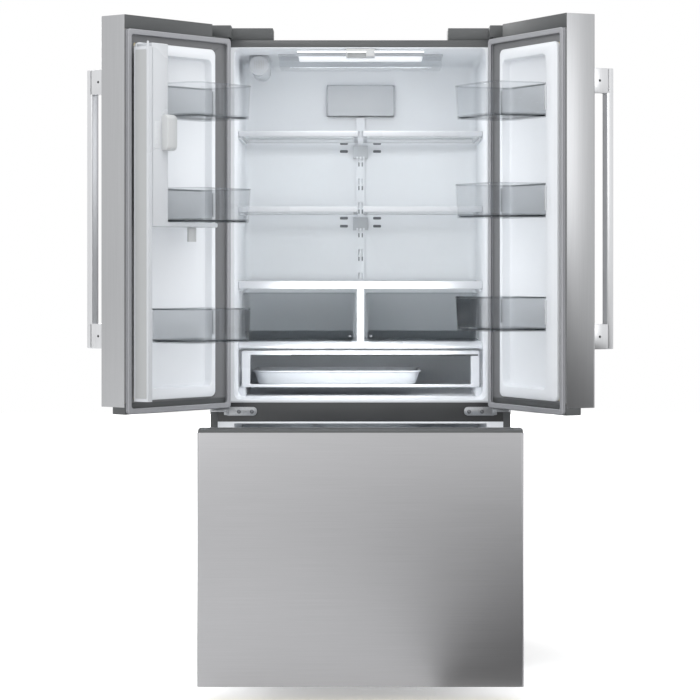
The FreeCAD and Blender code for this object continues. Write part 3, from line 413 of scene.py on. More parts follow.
class Shape:
    """Gathers closed bits in millimetres and makes one mesh object of them."""

    def __init__(self) -> None:
        """Starts with no bits."""
        self.mesh = bmesh.new()

    def _soften(self, verts: list[bmesh.types.BMVert], width: float, rings: int) -> None:
        """Rounds the edges between the given points."""
        edges = list({e for v in verts for e in v.link_edges if e.calc_face_angle(0) > 0.5})
        bmesh.ops.bevel(self.mesh, geom=edges, offset=width, segments=rings, profile=0.5,
                        affect="EDGES", clamp_overlap=True)

    def block(self, x: Span, y: Span, z: Span, soft: float = 0.8, rings: int = 2) -> Shape:
        """Adds a block with rounded edges."""
        centre = Vector(((x[0] + x[1]) / 2, (y[0] + y[1]) / 2, (z[0] + z[1]) / 2))
        size = Vector((x[1] - x[0], y[1] - y[0], z[1] - z[0]))
        place = Matrix.Translation(centre) @ Matrix.Diagonal((*size, 1))
        verts = bmesh.ops.create_cube(self.mesh, size=1, matrix=place)["verts"]
        if soft:
            self._soften(verts, min(soft, min(size) * 0.45), rings)
        return self

    def loft(self, rings: list[list[Vector]]) -> Shape:
        """Adds a closed skin through rings of equally many points, with both ends capped."""
        rows = [[self.mesh.verts.new(p) for p in ring] for ring in rings]
        count = len(rows[0])
        for low, high in zip(rows, rows[1:]):
            for i in range(count):
                j = (i + 1) % count
                self.mesh.faces.new((low[i], low[j], high[j], high[i]))
        self.mesh.faces.new(reversed(rows[0]))
        self.mesh.faces.new(rows[-1])
        return self

    def ring(self, rings: list[list[Vector]]) -> Shape:
        """Adds a closed skin whose last ring joins its first, as a frame or a gasket."""
        rows = [[self.mesh.verts.new(p) for p in ring] for ring in rings]
        count = len(rows[0])
        for low, high in zip(rows, rows[1:] + rows[:1]):
            for i in range(count):
                j = (i + 1) % count
                self.mesh.faces.new((low[i], low[j], high[j], high[i]))
        return self

    def slab(self, axis: Axis, u: Span, v: Span, depth: Span, radius: float,
             soft: float = 0.6) -> Shape:
        """Adds a plate with round corners and eased edges.

        Args:
            axis: The axis through the plate's thickness.
            u: Its span along the first remaining axis.
            v: Its span along the second remaining axis.
            depth: Its span through the thickness.
            radius: The radius of its four corners.
            soft: How far its edges are eased.

        Returns:
            This shape.
        """
        rings = []
        soft = min(soft, (depth[1] - depth[0]) * 0.45)
        for level, inset in ((depth[0], soft), (depth[0] + soft * 0.3, soft * 0.3),
                             (depth[0] + soft, 0.0), (depth[1] - soft, 0.0),
                             (depth[1] - soft * 0.3, soft * 0.3), (depth[1], soft)):
            outline = rounded_rectangle((u[0] + inset, u[1] - inset), (v[0] + inset, v[1] - inset),
                                        max(radius - inset, 0.2))
            rings.append([axis.point(a, b, level) for a, b in outline])
        return self.loft(rings)

    def frame(self, axis: Axis, u: Span, v: Span, depth: Span, width: float | tuple[float, ...],
              radius: float, soft: float = 0.6) -> Shape:
        """Adds a flat frame; width is one number or (left, right, low, high)."""
        left, right, low, high = (width,) * 4 if isinstance(width, (int, float)) else width
        outer = (u, v)
        inner = ((u[0] + left, u[1] - right), (v[0] + low, v[1] - high))
        rings = []
        for (a, b), level, inset in ((outer, depth[0], soft), (outer, depth[0] + soft, 0.0),
                                     (outer, depth[1] - soft, 0.0), (outer, depth[1], soft),
                                     (inner, depth[1], -soft), (inner, depth[1] - soft, 0.0),
                                     (inner, depth[0] + soft, 0.0), (inner, depth[0], -soft)):
            outline = rounded_rectangle((a[0] + inset, a[1] - inset), (b[0] + inset, b[1] - inset),
                                        radius)
            rings.append([axis.point(p, q, level) for p, q in outline])
        return self.ring(rings)

    def tub(self, x: Span, y: Span, z: Span, wall: float, radius: float,
            lean: float = 0.0, lip: float = 0.0) -> Shape:
        """Adds an open box with round corners, walls that lean out and a rolled lip.

        Args:
            x: Its span across.
            y: Its span front to back.
            z: Its span from floor to rim.
            wall: The wall thickness.
            radius: The radius of its upright corners.
            lean: How much smaller the floor is than the rim, on each side.
            lip: How far a lip stands out round the rim.

        Returns:
            This shape.
        """
        def outline(level: float, inset: float) -> list[Vector]:
            """Returns the box's section at a level, drawn in by an inset."""
            grow = inset + lip
            points = rounded_rectangle((x[0] + grow, x[1] - grow), (y[0] + grow, y[1] - grow),
                                       max(radius - inset, 0.5))
            return [Vector((a, b, level)) for a, b in points]

        foot = radius * 0.35
        rings = [outline(z[0], lean + foot), outline(z[0] + foot * 0.3, lean + foot * 0.3),
                 outline(z[0] + foot, lean)]
        if lip:
            rings += [outline(z[1] - 2 * wall, 0.0), outline(z[1] - 1.6 * wall, -lip),
                      outline(z[1] - 0.3 * wall, -lip), outline(z[1], -lip * 0.7)]
        rings += [outline(z[1] - 0.3 * wall if not lip else z[1], 0.0),
                  outline(z[1], wall * 0.3), outline(z[1], wall * 0.7),
                  outline(z[1] - 0.3 * wall, wall), outline(z[0] + wall + foot, lean + wall),
                  outline(z[0] + wall + foot * 0.3, lean + wall + foot * 0.3),
                  outline(z[0] + wall, lean + wall + foot)]
        return self.loft(rings)

    def rod(self, start: Point, end: Point, radius: float, sides: int = 24,
            soft: float = 0.3) -> Shape:
        """Adds a round bar between two points, with eased ends."""
        a, b = Vector(start), Vector(end)
        along = (b - a).normalized()
        across = along.orthogonal().normalized()
        other = along.cross(across)
        soft = min(soft, radius * 0.4, (b - a).length * 0.4)
        rings = []
        for centre, size in ((a, radius - soft), (a + along * soft, radius),
                             (b - along * soft, radius), (b, radius - soft)):
            rings.append([centre + (across * math.cos(t) + other * math.sin(t)) * size
                          for t in (2 * math.pi * i / sides for i in range(sides))])
        return self.loft(rings)

    def prism(self, axis: Axis, outline: list[tuple[float, float]], depth: Span,
              soft: float = 0.0) -> Shape:
        """Adds a straight bar with the given section."""
        before = set(self.mesh.verts)
        self.loft([[axis.point(u, v, level) for u, v in outline] for level in depth])
        if soft:
            self._soften([v for v in self.mesh.verts if v not in before], soft, 2)
        return self

    def tube(self, path: list[Vector], radius: float, sides: int = 10) -> Shape:
        """Adds a round pipe along a path of points."""
        rings = []
        across = (path[1] - path[0]).normalized().orthogonal().normalized()
        for i, point in enumerate(path):
            ahead = path[min(i + 1, len(path) - 1)] - path[max(i - 1, 0)]
            along = ahead.normalized()
            across = (across - along * across.dot(along)).normalized()
            other = along.cross(across)
            rings.append([point + (across * math.cos(t) + other * math.sin(t)) * radius
                          for t in (2 * math.pi * k / sides for k in range(sides))])
        return self.loft(rings)

    def copied(self, node: str, place: Place, width: float, rings: int = 2) -> Shape:
        """Adds a CAD node's shape, merged, with its sharp edges rounded by a width."""
        source = bmesh.new()
        source.from_mesh(frame["nodes"][node].data)
        to_mm = Matrix.Scale(1 / MM, 4) @ place.shut_to_rest.inverted()
        source.transform(to_mm)
        bmesh.ops.remove_doubles(source, verts=source.verts, dist=0.004)
        bmesh.ops.dissolve_limit(source, angle_limit=math.radians(0.6), verts=source.verts,
                                 edges=source.edges)
        if width:
            edges = [e for e in source.edges if len(e.link_faces) == 2
                     and e.calc_face_angle(0) > math.radians(32)]
            bmesh.ops.bevel(source, geom=edges, offset=width, segments=rings, profile=0.5,
                            affect="EDGES", clamp_overlap=True)
        holder = bpy.data.meshes.new("holder")
        source.to_mesh(holder)
        self.mesh.from_mesh(holder)
        bpy.data.meshes.remove(holder)
        source.free()
        return self

    def out(self, name: str, place: Place, look: Look, slot: str | None = None,
            replaces: tuple[str, ...] = (), outward: bool = True) -> bpy.types.Object:
        """Makes the finished piece and hands it to the frame.

        Args:
            name: The piece's name.
            place: The body it rides on and that body's move from shut to rest.
            look: Its finish.
            slot: The record's material slot meant for it; not used.
            replaces: The CAD nodes it stands for.
            outward: Whether to turn all faces outwards first.

        Returns:
            The new object.
        """
        if outward:
            bmesh.ops.recalc_face_normals(self.mesh, faces=self.mesh.faces)
        self.mesh.transform(place.shut_to_rest @ Matrix.Scale(MM, 4))
        data = bpy.data.meshes.new(name)
        self.mesh.to_mesh(data)
        self.mesh.free()
        return handed(name, data, place, look, replaces)


def handed(name: str, data: bpy.types.Mesh, place: Place, look: Look,
           replaces: tuple[str, ...] = ()) -> bpy.types.Object:
    """Links a finished mesh as a piece that rides on its body."""
    data.materials.clear()
    data.materials.append(look.material)
    data.polygons.foreach_set("use_smooth", [True] * len(data.polygons))
    data.set_sharp_from_angle(angle=math.radians(38))
    piece = bpy.data.objects.new(name, data)
    bpy.context.scene.collection.objects.link(piece)
    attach(piece, place.body)
    if replaces:
        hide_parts(*replaces)
    LOG.info("%s: %d faces on %s", name, len(data.polygons), place.body)
    return piece


def dressed(look: Look, *nodes: str) -> None:
    """Gives CAD nodes a finish as they are."""
    for node in nodes:
        data = frame["nodes"][node].data
        data.materials.clear()
        data.materials.append(look.material)
        LOG.info("%s: dressed in %s", node, look.value.name)


def refined(node: str, place: Place, look: Look, slot: str, width: float = 0.6) -> bpy.types.Object:
    """Replaces a CAD node by a copy with rounded edges."""
    shape = Shape().copied(node, place, width)
    return shape.out(node + "_finished", place, look, slot, (node,), outward=False)


# ---------------------------------------------------------------- repeats
class Rows:
    """A Geometry Nodes tree that repeats a shape in rows and columns."""

    def __init__(self) -> None:
        """Builds the tree with its named inputs."""
        self.tree = bpy.data.node_groups.new("rows_and_columns", "GeometryNodeTree")
        face = self.tree.interface
        self.ids = {}
        for name, kind in (("Geometry", "Geometry"), ("Columns", "Int"), ("Column Step", "Vector"),
                           ("Rows", "Int"), ("Row Step", "Vector"), ("Material", "Material")):
            socket = face.new_socket(name, in_out="INPUT", socket_type="NodeSocket" + kind)
            self.ids[name] = socket.identifier
        face.new_socket("Geometry", in_out="OUTPUT", socket_type="NodeSocketGeometry")
        add = self.tree.nodes.new
        link = self.tree.links.new
        inputs, output = add("NodeGroupInput"), add("NodeGroupOutput")
        lines = []
        for count, step in (("Columns", "Column Step"), ("Rows", "Row Step")):
            line = add("GeometryNodeMeshLine")
            link(inputs.outputs[count], line.inputs["Count"])
            link(inputs.outputs[step], line.inputs["Offset"])
            lines.append(line)
        grid, copies = add("GeometryNodeInstanceOnPoints"), add("GeometryNodeInstanceOnPoints")
        points, real = add("GeometryNodeRealizeInstances"), add("GeometryNodeRealizeInstances")
        coat = add("GeometryNodeSetMaterial")
        link(lines[0].outputs[0], grid.inputs["Points"])
        link(lines[1].outputs[0], grid.inputs["Instance"])
        link(grid.outputs[0], points.inputs[0])
        link(points.outputs[0], copies.inputs["Points"])
        link(inputs.outputs["Geometry"], copies.inputs["Instance"])
        link(copies.outputs[0], real.inputs[0])
        link(real.outputs[0], coat.inputs["Geometry"])
        link(inputs.outputs["Material"], coat.inputs["Material"])
        link(coat.outputs[0], output.inputs[0])

    def repeat(self, name: str, shape: Shape, place: Place, look: Look,
               columns: tuple[int, Point], rows: tuple[int, Point] = (1, (0, 0, 0)),
               replaces: tuple[str, ...] = ()) -> bpy.types.Object:
        """Repeats a shape and hands over the result as one piece.

        Args:
            name: The piece's name.
            shape: The first copy, in millimetres with its body shut.
            place: The body it rides on.
            look: The finish of every copy.
            columns: How many copies, and the step between them in millimetres.
            rows: How many rows of them, and the step between rows.
            replaces: The CAD nodes that the copies stand for.

        Returns:
            The finished piece.
        """
        bmesh.ops.recalc_face_normals(shape.mesh, faces=shape.mesh.faces)
        shape.mesh.transform(Matrix.Scale(MM, 4))
        data = bpy.data.meshes.new(name + "_seed")
        shape.mesh.to_mesh(data)
        shape.mesh.free()
        seed = bpy.data.objects.new(name + "_seed", data)
        bpy.context.scene.collection.objects.link(seed)
        modifier = seed.modifiers.new("rows", "NODES")
        modifier.node_group = self.tree
        for label, value in (("Columns", columns[0]), ("Column Step", Vector(columns[1]) * MM),
                             ("Rows", rows[0]), ("Row Step", Vector(rows[1]) * MM),
                             ("Material", look.material)):
            modifier[self.ids[label]] = value
        bpy.context.view_layer.update()
        ready = seed.evaluated_get(bpy.context.evaluated_depsgraph_get())
        made = bpy.data.meshes.new_from_object(ready)
        bpy.data.objects.remove(seed)
        bpy.data.meshes.remove(data)
        made.name = name
        made.transform(place.shut_to_rest)
        return handed(name, made, place, look, replaces)


ROWS = Rows()


def screw_head(centre: Point, facing: Axis, out: int, radius: float = 4.5,
               height: float = 2.6) -> Shape:
    """Returns a domed screw head with a cross recess.

    Args:
        centre: The middle of the head's seat.
        facing: The axis that the screw points along.
        out: The way the head stands along it, +1 or -1.
        radius: The head's radius.
        height: The head's height.

    Returns:
        The head as a shape.
    """
    shape = Shape()
    order = {Axis.X: (1, 2, 0), Axis.Y: (0, 2, 1), Axis.Z: (0, 1, 2)}[facing]
    cu, cv, cd = (centre[i] for i in order)
    sides = 20
    rings = []
    for size, level in ((1.0, 0.0), (1.0, 0.35), (0.86, 0.75), (0.62, 0.95), (0.5, 1.0)):
        rings.append([facing.point(cu + radius * size * math.cos(t), cv + radius * size * math.sin(t),
                                   cd + out * height * level)
                      for t in (2 * math.pi * i / sides for i in range(sides))])
    star = []
    for i in range(sides):
        arm = 0.46 if i % 5 in (0, 1) else 0.2
        angle = 2 * math.pi * i / sides
        star.append((cu + radius * arm * math.cos(angle), cv + radius * arm * math.sin(angle)))
    for level in (1.0, 0.45):
        rings.append([facing.point(u, v, cd + out * height * level) for u, v in star])
    return shape.loft(rings)


# ---------------------------------------------------------------- studio
@dataclass(frozen=True)
class Lamp:
    """A rectangular soft lamp: where it hangs and faces in metres, its size and its watts."""

    name: str
    place: Point
    aim: Point
    size: tuple[float, float]
    power: float
    mirrored_in_metal: bool = True


@dataclass
class Studio:
    """The camera, the lamps, the floor and the white surround."""

    lens: float = 128.5
    eye: Point = (0.0, -6.930, 1.114)
    shift: tuple[float, float] = (-0.015, -0.1186)
    surround: float = 0.92
    pool: float = 2.4
    lamps: tuple[Lamp, ...] = (
        Lamp("key", (-2.6, -4.6, 3.6), (0, -0.2, 1.0), (2.4, 2.4), 46),
        Lamp("fill", (3.2, -4.2, 2.2), (0, -0.2, 0.9), (1.6, 2.6), 24),
        Lamp("top", (0.0, -1.2, 4.2), (0, 0.1, 0.6), (2.6, 1.6), 38),
        Lamp("rear", (-2.0, 4.5, 2.6), (0, 0.5, 0.9), (2.4, 2.4), 60),
        Lamp("inside", (0.0, 0.16, 1.69), (0.0, 0.3, 0.8), (0.4, 0.2), 1.35, False),
        Lamp("front", (0.0, -5.2, 1.3), (0, 0.3, 1.2), (1.4, 1.4), 2.5, False),
        Lamp("room", (0.0, -0.32, 1.16), (0, 0.5, 1.12), (0.5, 0.8), 1.0, False),
        Lamp("crisper", (0.0, 0.12, 1.035), (0, 0.4, 0.93), (0.5, 0.05), 0.5, False),
        Lamp("pantry", (0.0, 0.12, 0.862), (0, 0.4, 0.80), (0.5, 0.05), 0.6, False),
    )

    def camera(self) -> None:
        """Adds the camera, level and square to the cabinet's front."""
        data = bpy.data.cameras.new("view")
        data.lens = self.lens
        data.shift_x, data.shift_y = self.shift
        camera = bpy.data.objects.new("view", data)
        camera.location = self.eye
        camera.rotation_euler = (math.radians(90), 0, 0)
        bpy.context.scene.collection.objects.link(camera)
        bpy.context.scene.camera = camera

    def hang(self, lamp: Lamp) -> None:
        """Adds one lamp, which the camera never sees."""
        data = bpy.data.lights.new(lamp.name, "AREA")
        data.shape, data.energy = "RECTANGLE", lamp.power
        data.size, data.size_y = lamp.size
        hung = bpy.data.objects.new(lamp.name, data)
        hung.location = lamp.place
        aim = Vector(lamp.aim) - Vector(lamp.place)
        hung.rotation_euler = aim.to_track_quat("-Z", "Y").to_euler()
        bpy.context.scene.collection.objects.link(hung)
        hung.visible_camera = False
        hung.visible_glossy = lamp.mirrored_in_metal

    def world(self) -> None:
        """Makes the surround: white to the eye and in reflections, softer as a light."""
        world = bpy.data.worlds.new("surround")
        bpy.context.scene.world = world
        world.use_nodes = True
        nodes, links = world.node_tree.nodes, world.node_tree.links
        path = nodes.new("ShaderNodeLightPath")
        level = nodes["Background"].inputs["Strength"]
        total = path.outputs["Is Camera Ray"]
        for ray in ("Is Glossy Ray", "Is Transmission Ray"):
            either = nodes.new("ShaderNodeMath")
            either.operation = "MAXIMUM"
            links.new(total, either.inputs[0])
            links.new(path.outputs[ray], either.inputs[1])
            total = either.outputs[0]
        spread = nodes.new("ShaderNodeMapRange")
        spread.inputs["To Min"].default_value = self.surround
        spread.inputs["To Max"].default_value = 1.0
        links.new(total, spread.inputs["Value"])
        links.new(spread.outputs[0], level)
        nodes["Background"].inputs["Color"].default_value = (1.0, 1.0, 1.0, 1.0)

    def floor(self) -> None:
        """Lays a pale floor that keeps the refrigerator's shadow."""
        mesh = bmesh.new()
        bmesh.ops.create_grid(mesh, x_segments=2, y_segments=2, size=12)
        data = bpy.data.meshes.new("floor")
        mesh.to_mesh(data)
        mesh.free()
        floor = bpy.data.objects.new("floor", data)
        bpy.context.scene.collection.objects.link(floor)
        graph = Graph("floor_white")
        graph.feed(graph.shader, Base_Color=(0.92, 0.92, 0.92, 1.0), Roughness=0.9)
        graph.feed(graph.shader, Emission_Color=(1.0, 1.0, 1.0, 1.0))
        path = graph.add("ShaderNodeLightPath")
        reach = graph.add("ShaderNodeVectorMath", operation="LENGTH")
        graph.tree.links.new(graph.coords, reach.inputs[0])
        fade = graph.add("ShaderNodeMapRange", interpolation_type="SMOOTHSTEP")
        graph.feed(fade, Value=reach.outputs["Value"], From_Min=0.7, From_Max=self.pool,
                   To_Min=0.34, To_Max=1.0)
        seen = graph.add("ShaderNodeMath", operation="MULTIPLY")
        graph.tree.links.new(path.outputs["Is Camera Ray"], seen.inputs[0])
        graph.tree.links.new(fade.outputs[0], seen.inputs[1])
        graph.tree.links.new(seen.outputs[0], graph.shader.inputs["Emission Strength"])
        data.materials.append(graph.material)

    def card(self) -> None:
        """Stands a dark card to the front right, which only shows as a shade on the metal."""
        mesh = bmesh.new()
        lying = ((0.2, -0.62, 0.003), (3.4, -0.62, 0.003), (3.4, -5.4, 0.003), (0.5, -5.4, 0.003))
        upright = ((0.3, -5.4, 0.003), (3.4, -5.4, 0.003), (3.4, -5.4, 1.7), (0.5, -5.4, 1.3))
        for corners in (lying, upright):
            mesh.faces.new([mesh.verts.new(corner) for corner in corners])
        data = bpy.data.meshes.new("shade_card")
        mesh.to_mesh(data)
        mesh.free()
        graph = Graph("card_black")
        graph.feed(graph.shader, Base_Color=(0.09, 0.09, 0.09, 1.0), Roughness=0.9)
        data.materials.append(graph.material)
        card = bpy.data.objects.new("shade_card", data)
        bpy.context.scene.collection.objects.link(card)
        card.visible_camera = card.visible_diffuse = card.visible_shadow = False
        card.visible_transmission = False

    def build(self) -> None:
        """Sets up the whole studio."""
        view = bpy.context.scene.view_settings
        view.view_transform = "Standard"
        self.camera()
        self.world()
        self.floor()
        self.card()
        for lamp in self.lamps:
            self.hang(lamp)


# ---------------------------------------------------------------- cabinet
@dataclass
class Cabinet:
    """The painted case with its rail, hinges, covers, feet and rear panels."""

    louvre_pitch: float = 15.0
    rib_pitch: float = 92.0

    def shell(self) -> None:
        """Builds the case, the base pan and the rail between the compartments."""
        refined("case_wrapper", CABINET, Look.CASE, "case_paint", 0.35)
        refined("base_frame", CABINET, Look.BLACK, "zinc_sheet", 0.5)
        refined("front_mullion", CABINET, Look.RAIL, "case_paint", 1.0)
        dressed(Look.FOAM, "insulation")
        x, y, z = CABINET.box("front_mullion")
        Shape().block((x[0] + 1, x[1] - 1), (y[0] - 1.0, y[0] + 4), (z[1] - 5, z[1]), 1.2).out(
            "sill_edge", CABINET, Look.WHITE, "white_trim")

    def hinges(self) -> None:
        """Builds the hinge covers, the upper leaves and the lower hinge plates."""
        refined("hinge_covers", CABINET, Look.DARK_TRIM, "grey_trim", 1.6)
        refined("top_hinges", CABINET, Look.HINGE, "hinge_steel", 0.6)
        shape = Shape()
        _, y, z = CABINET.box("bottom_hinges")
        plate_low, plate_high = 702.0, 726.0
        pin_across, pin_back = 402.8, -56.8
        boss, pin_radius = 9.0, 5.0
        for side in (-1, 1):
            plate = mirrored(side, 287.0, 378.0)
            shape.slab(Axis.Y, plate, (plate_low, plate_high), (-5.0, 0.0), 11.5, 0.8)
            rim = (plate[0] + 4, plate[1] - 4)
            shape.slab(Axis.Y, rim, (plate_low + 4, plate_high - 4), (-5.8, -4.5), 8.0, 0.7)
            arm = mirrored(side, 366.0, 414.0)
            shape.slab(Axis.Z, arm, (y[0], 0.0), (716.0, 722.0), 10.0, 1.0)
            shape.block(mirrored(side, 366.0, 378.0), (-14.0, -1.0), (704.0, 719.0), 2.0)
            pin = side * pin_across
            shape.rod((pin, pin_back, 721.0), (pin, pin_back, 726.6), boss, 28, 0.8)
            shape.rod((pin, pin_back, 725.0), (pin, pin_back, z[1]), pin_radius, 24, 1.5)
        shape.out("lower_hinge_plates", CABINET, Look.HINGE, "hinge_steel", ("bottom_hinges",))

    def screws(self) -> None:
        """Sets a cross-head screw in every place that the CAD model has one."""
        mesh = bmesh.new()
        mesh.from_mesh(frame["nodes"]["hinge_screws"].data)
        bmesh.ops.remove_doubles(mesh, verts=mesh.verts, dist=1e-5)
        left, groups = set(mesh.verts), []
        while left:
            group, queue = set(), [min(left, key=lambda v: v.index)]
            while queue:
                vert = queue.pop()
                if vert in left:
                    left.remove(vert)
                    group.add(vert)
                    queue += [e.other_vert(vert) for e in vert.link_edges]
            groups.append([[f(v.co[i] for v in group) / MM for f in (min, max)] for i in range(3)])
        mesh.free()
        shape = Shape()
        for x, y, z in sorted(groups):
            centre = [(x[0] + x[1]) / 2, (y[0] + y[1]) / 2, (z[0] + z[1]) / 2]
            upright = z[0] > 1700
            axis = Axis.Z if upright else Axis.Y
            seat, top = (z[0], z[1]) if upright else (y[1], y[0])
            centre[2 if upright else 1] = seat
            radius = (x[1] - x[0]) / 2
            shape.mesh.from_mesh(self._head(centre, axis, 1 if upright else -1, radius,
                                            abs(top - seat)))
        shape.out("hinge_screw_heads", CABINET, Look.SCREW, "hinge_steel", ("hinge_screws",))

    @staticmethod
    def _head(centre: list[float], axis: Axis, out: int, radius: float,
              height: float) -> bpy.types.Mesh:
        """Returns one screw head as mesh data."""
        head = screw_head(tuple(centre), axis, out, radius, height)
        data = bpy.data.meshes.new("head")
        head.mesh.to_mesh(data)
        head.mesh.free()
        return data

    def rear(self) -> None:
        """Builds the rear panel with pressed ribs, the louvred cover with thin black strips as
        painted shade of its louvre openings, and their screws.
        """
        refined("back_panel", CABINET, Look.ZINC, "zinc_sheet", 0.3)
        x, y, z = CABINET.box("back_panel")
        rib = Shape().slab(Axis.Y, (x[0] + 60, x[0] + 86), (z[0] + 120, z[1] - 90),
                           (y[1] - 0.6, y[1] - 0.02), 12, 0.5)
        count = int((x[1] - x[0] - 146) / self.rib_pitch)
        ROWS.repeat("back_panel_ribs", rib, CABINET, Look.ZINC,
                    (count + 1, ((x[1] - x[0] - 146) / count, 0, 0)))
        refined("machine_cover", CABINET, Look.ZINC, "zinc_sheet", 0.3)
        cx, cy, cz = CABINET.box("machine_cover")
        # Thin black strips on the cover's face: painted shade inside the louvre openings.
        louvre_shade = Shape().prism(Axis.X, [(cy[1] - 0.5, 0), (cy[1] - 0.01, 0), (cy[1] - 0.01, 3),
                                       (cy[1] - 0.5, 7)], (-330.0, -190.0))
        louvre_shade.mesh.transform(Matrix.Translation((0, 0, cz[0] + 60)))
        rows = int((cz[1] - cz[0] - 120) / self.louvre_pitch)
        ROWS.repeat("machine_cover_louvres", louvre_shade, CABINET, Look.BLACK,
                    (4, (173.0, 0, 0)), (rows, (0, 0, self.louvre_pitch)))
        screw = screw_head((cx[0] + 14, cy[1] - 1.6, cz[0] + 14), Axis.Y, 1, 4.2, 1.6)
        ROWS.repeat("machine_cover_screws", screw, CABINET, Look.HINGE,
                    (5, ((cx[1] - cx[0] - 28) / 4, 0, 0)), (2, (0, 0, cz[1] - cz[0] - 28)))

    def feet(self) -> None:
        """Builds the levelling feet and the rear rollers."""
        refined("levelling_feet", CABINET, Look.BLACK, "black_plastic", 0.8)
        rollers = Place("rear_rollers")
        refined("rear_rollers", rollers, Look.BLACK, "black_plastic", 1.2)

    def build(self) -> None:
        """Builds every cabinet piece."""
        self.shell()
        self.hinges()
        self.screws()
        self.rear()
        self.feet()


# ---------------------------------------------------------------- machinery
@dataclass
class Machinery:
    """The compressor, condenser, evaporator, fans and controls."""

    fin_pitch: float = 6.0

    def compressor(self) -> None:
        """Builds the welded compressor shell, its seam, terminal box and pipes."""
        refined("compressor", CABINET, Look.IRON, "black_iron", 2.0)
        x, y, z = CABINET.box("compressor")
        middle = ((x[0] + x[1]) / 2, (y[0] + y[1]) / 2)
        pipes = Shape()
        for i, reach in enumerate((0.0, 14.0, 28.0)):
            start = Vector((middle[0] - 30 - reach, middle[1] - 20, z[1] - 30))
            path = [start + Vector((-s * 7, math.sin(s / 3) * 6, 20 * math.sin(s / 5 + i)))
                    for s in range(16)]
            pipes.tube(path, 3.2)
        pipes.out("compressor_pipes", CABINET, Look.COPPER, "coil_metal")

    def coils(self) -> None:
        """Builds the finned condenser and evaporator."""
        for node, name in (("condenser", "condenser_fins"), ("evaporator", "evaporator_fins")):
            refined(node, CABINET, Look.COIL, "coil_metal", 0.4)
            x, y, z = CABINET.box(node)
            inset = 12.0
            fin = Shape().block((x[0] + inset, x[0] + inset + 0.6), (y[0] + 0.5, y[1] - 0.5),
                                (z[0] + 9, z[1] - 0.5), 0.0)
            count = int((x[1] - x[0] - 2 * inset) / self.fin_pitch)
            ROWS.repeat(name, fin, CABINET, Look.COIL,
                        (count, ((x[1] - x[0] - 2 * inset) / count, 0, 0)))

    def rest(self) -> None:
        """Builds the fans, pan, covers, board and inlet."""
        refined("drip_pan", CABINET, Look.BLACK, "black_plastic", 0.8)
        refined("evaporator_cover", CABINET, Look.LINER, "white_liner", 1.0)
        refined("power_inlet", CABINET, Look.BLACK, "black_plastic", 0.6)
        refined("control_board", CABINET, Look.ZINC, "black_plastic", 0.8)
        refined("condenser_fan", Place("condenser_fan"), Look.BLACK, "black_plastic", 0.4)
        refined("evaporator_fan", Place("evaporator_fan"), Look.LIGHT_TRIM, "white_trim", 0.4)

    def build(self) -> None:
        """Builds all the machinery."""
        self.compressor()
        self.coils()
        self.rest()


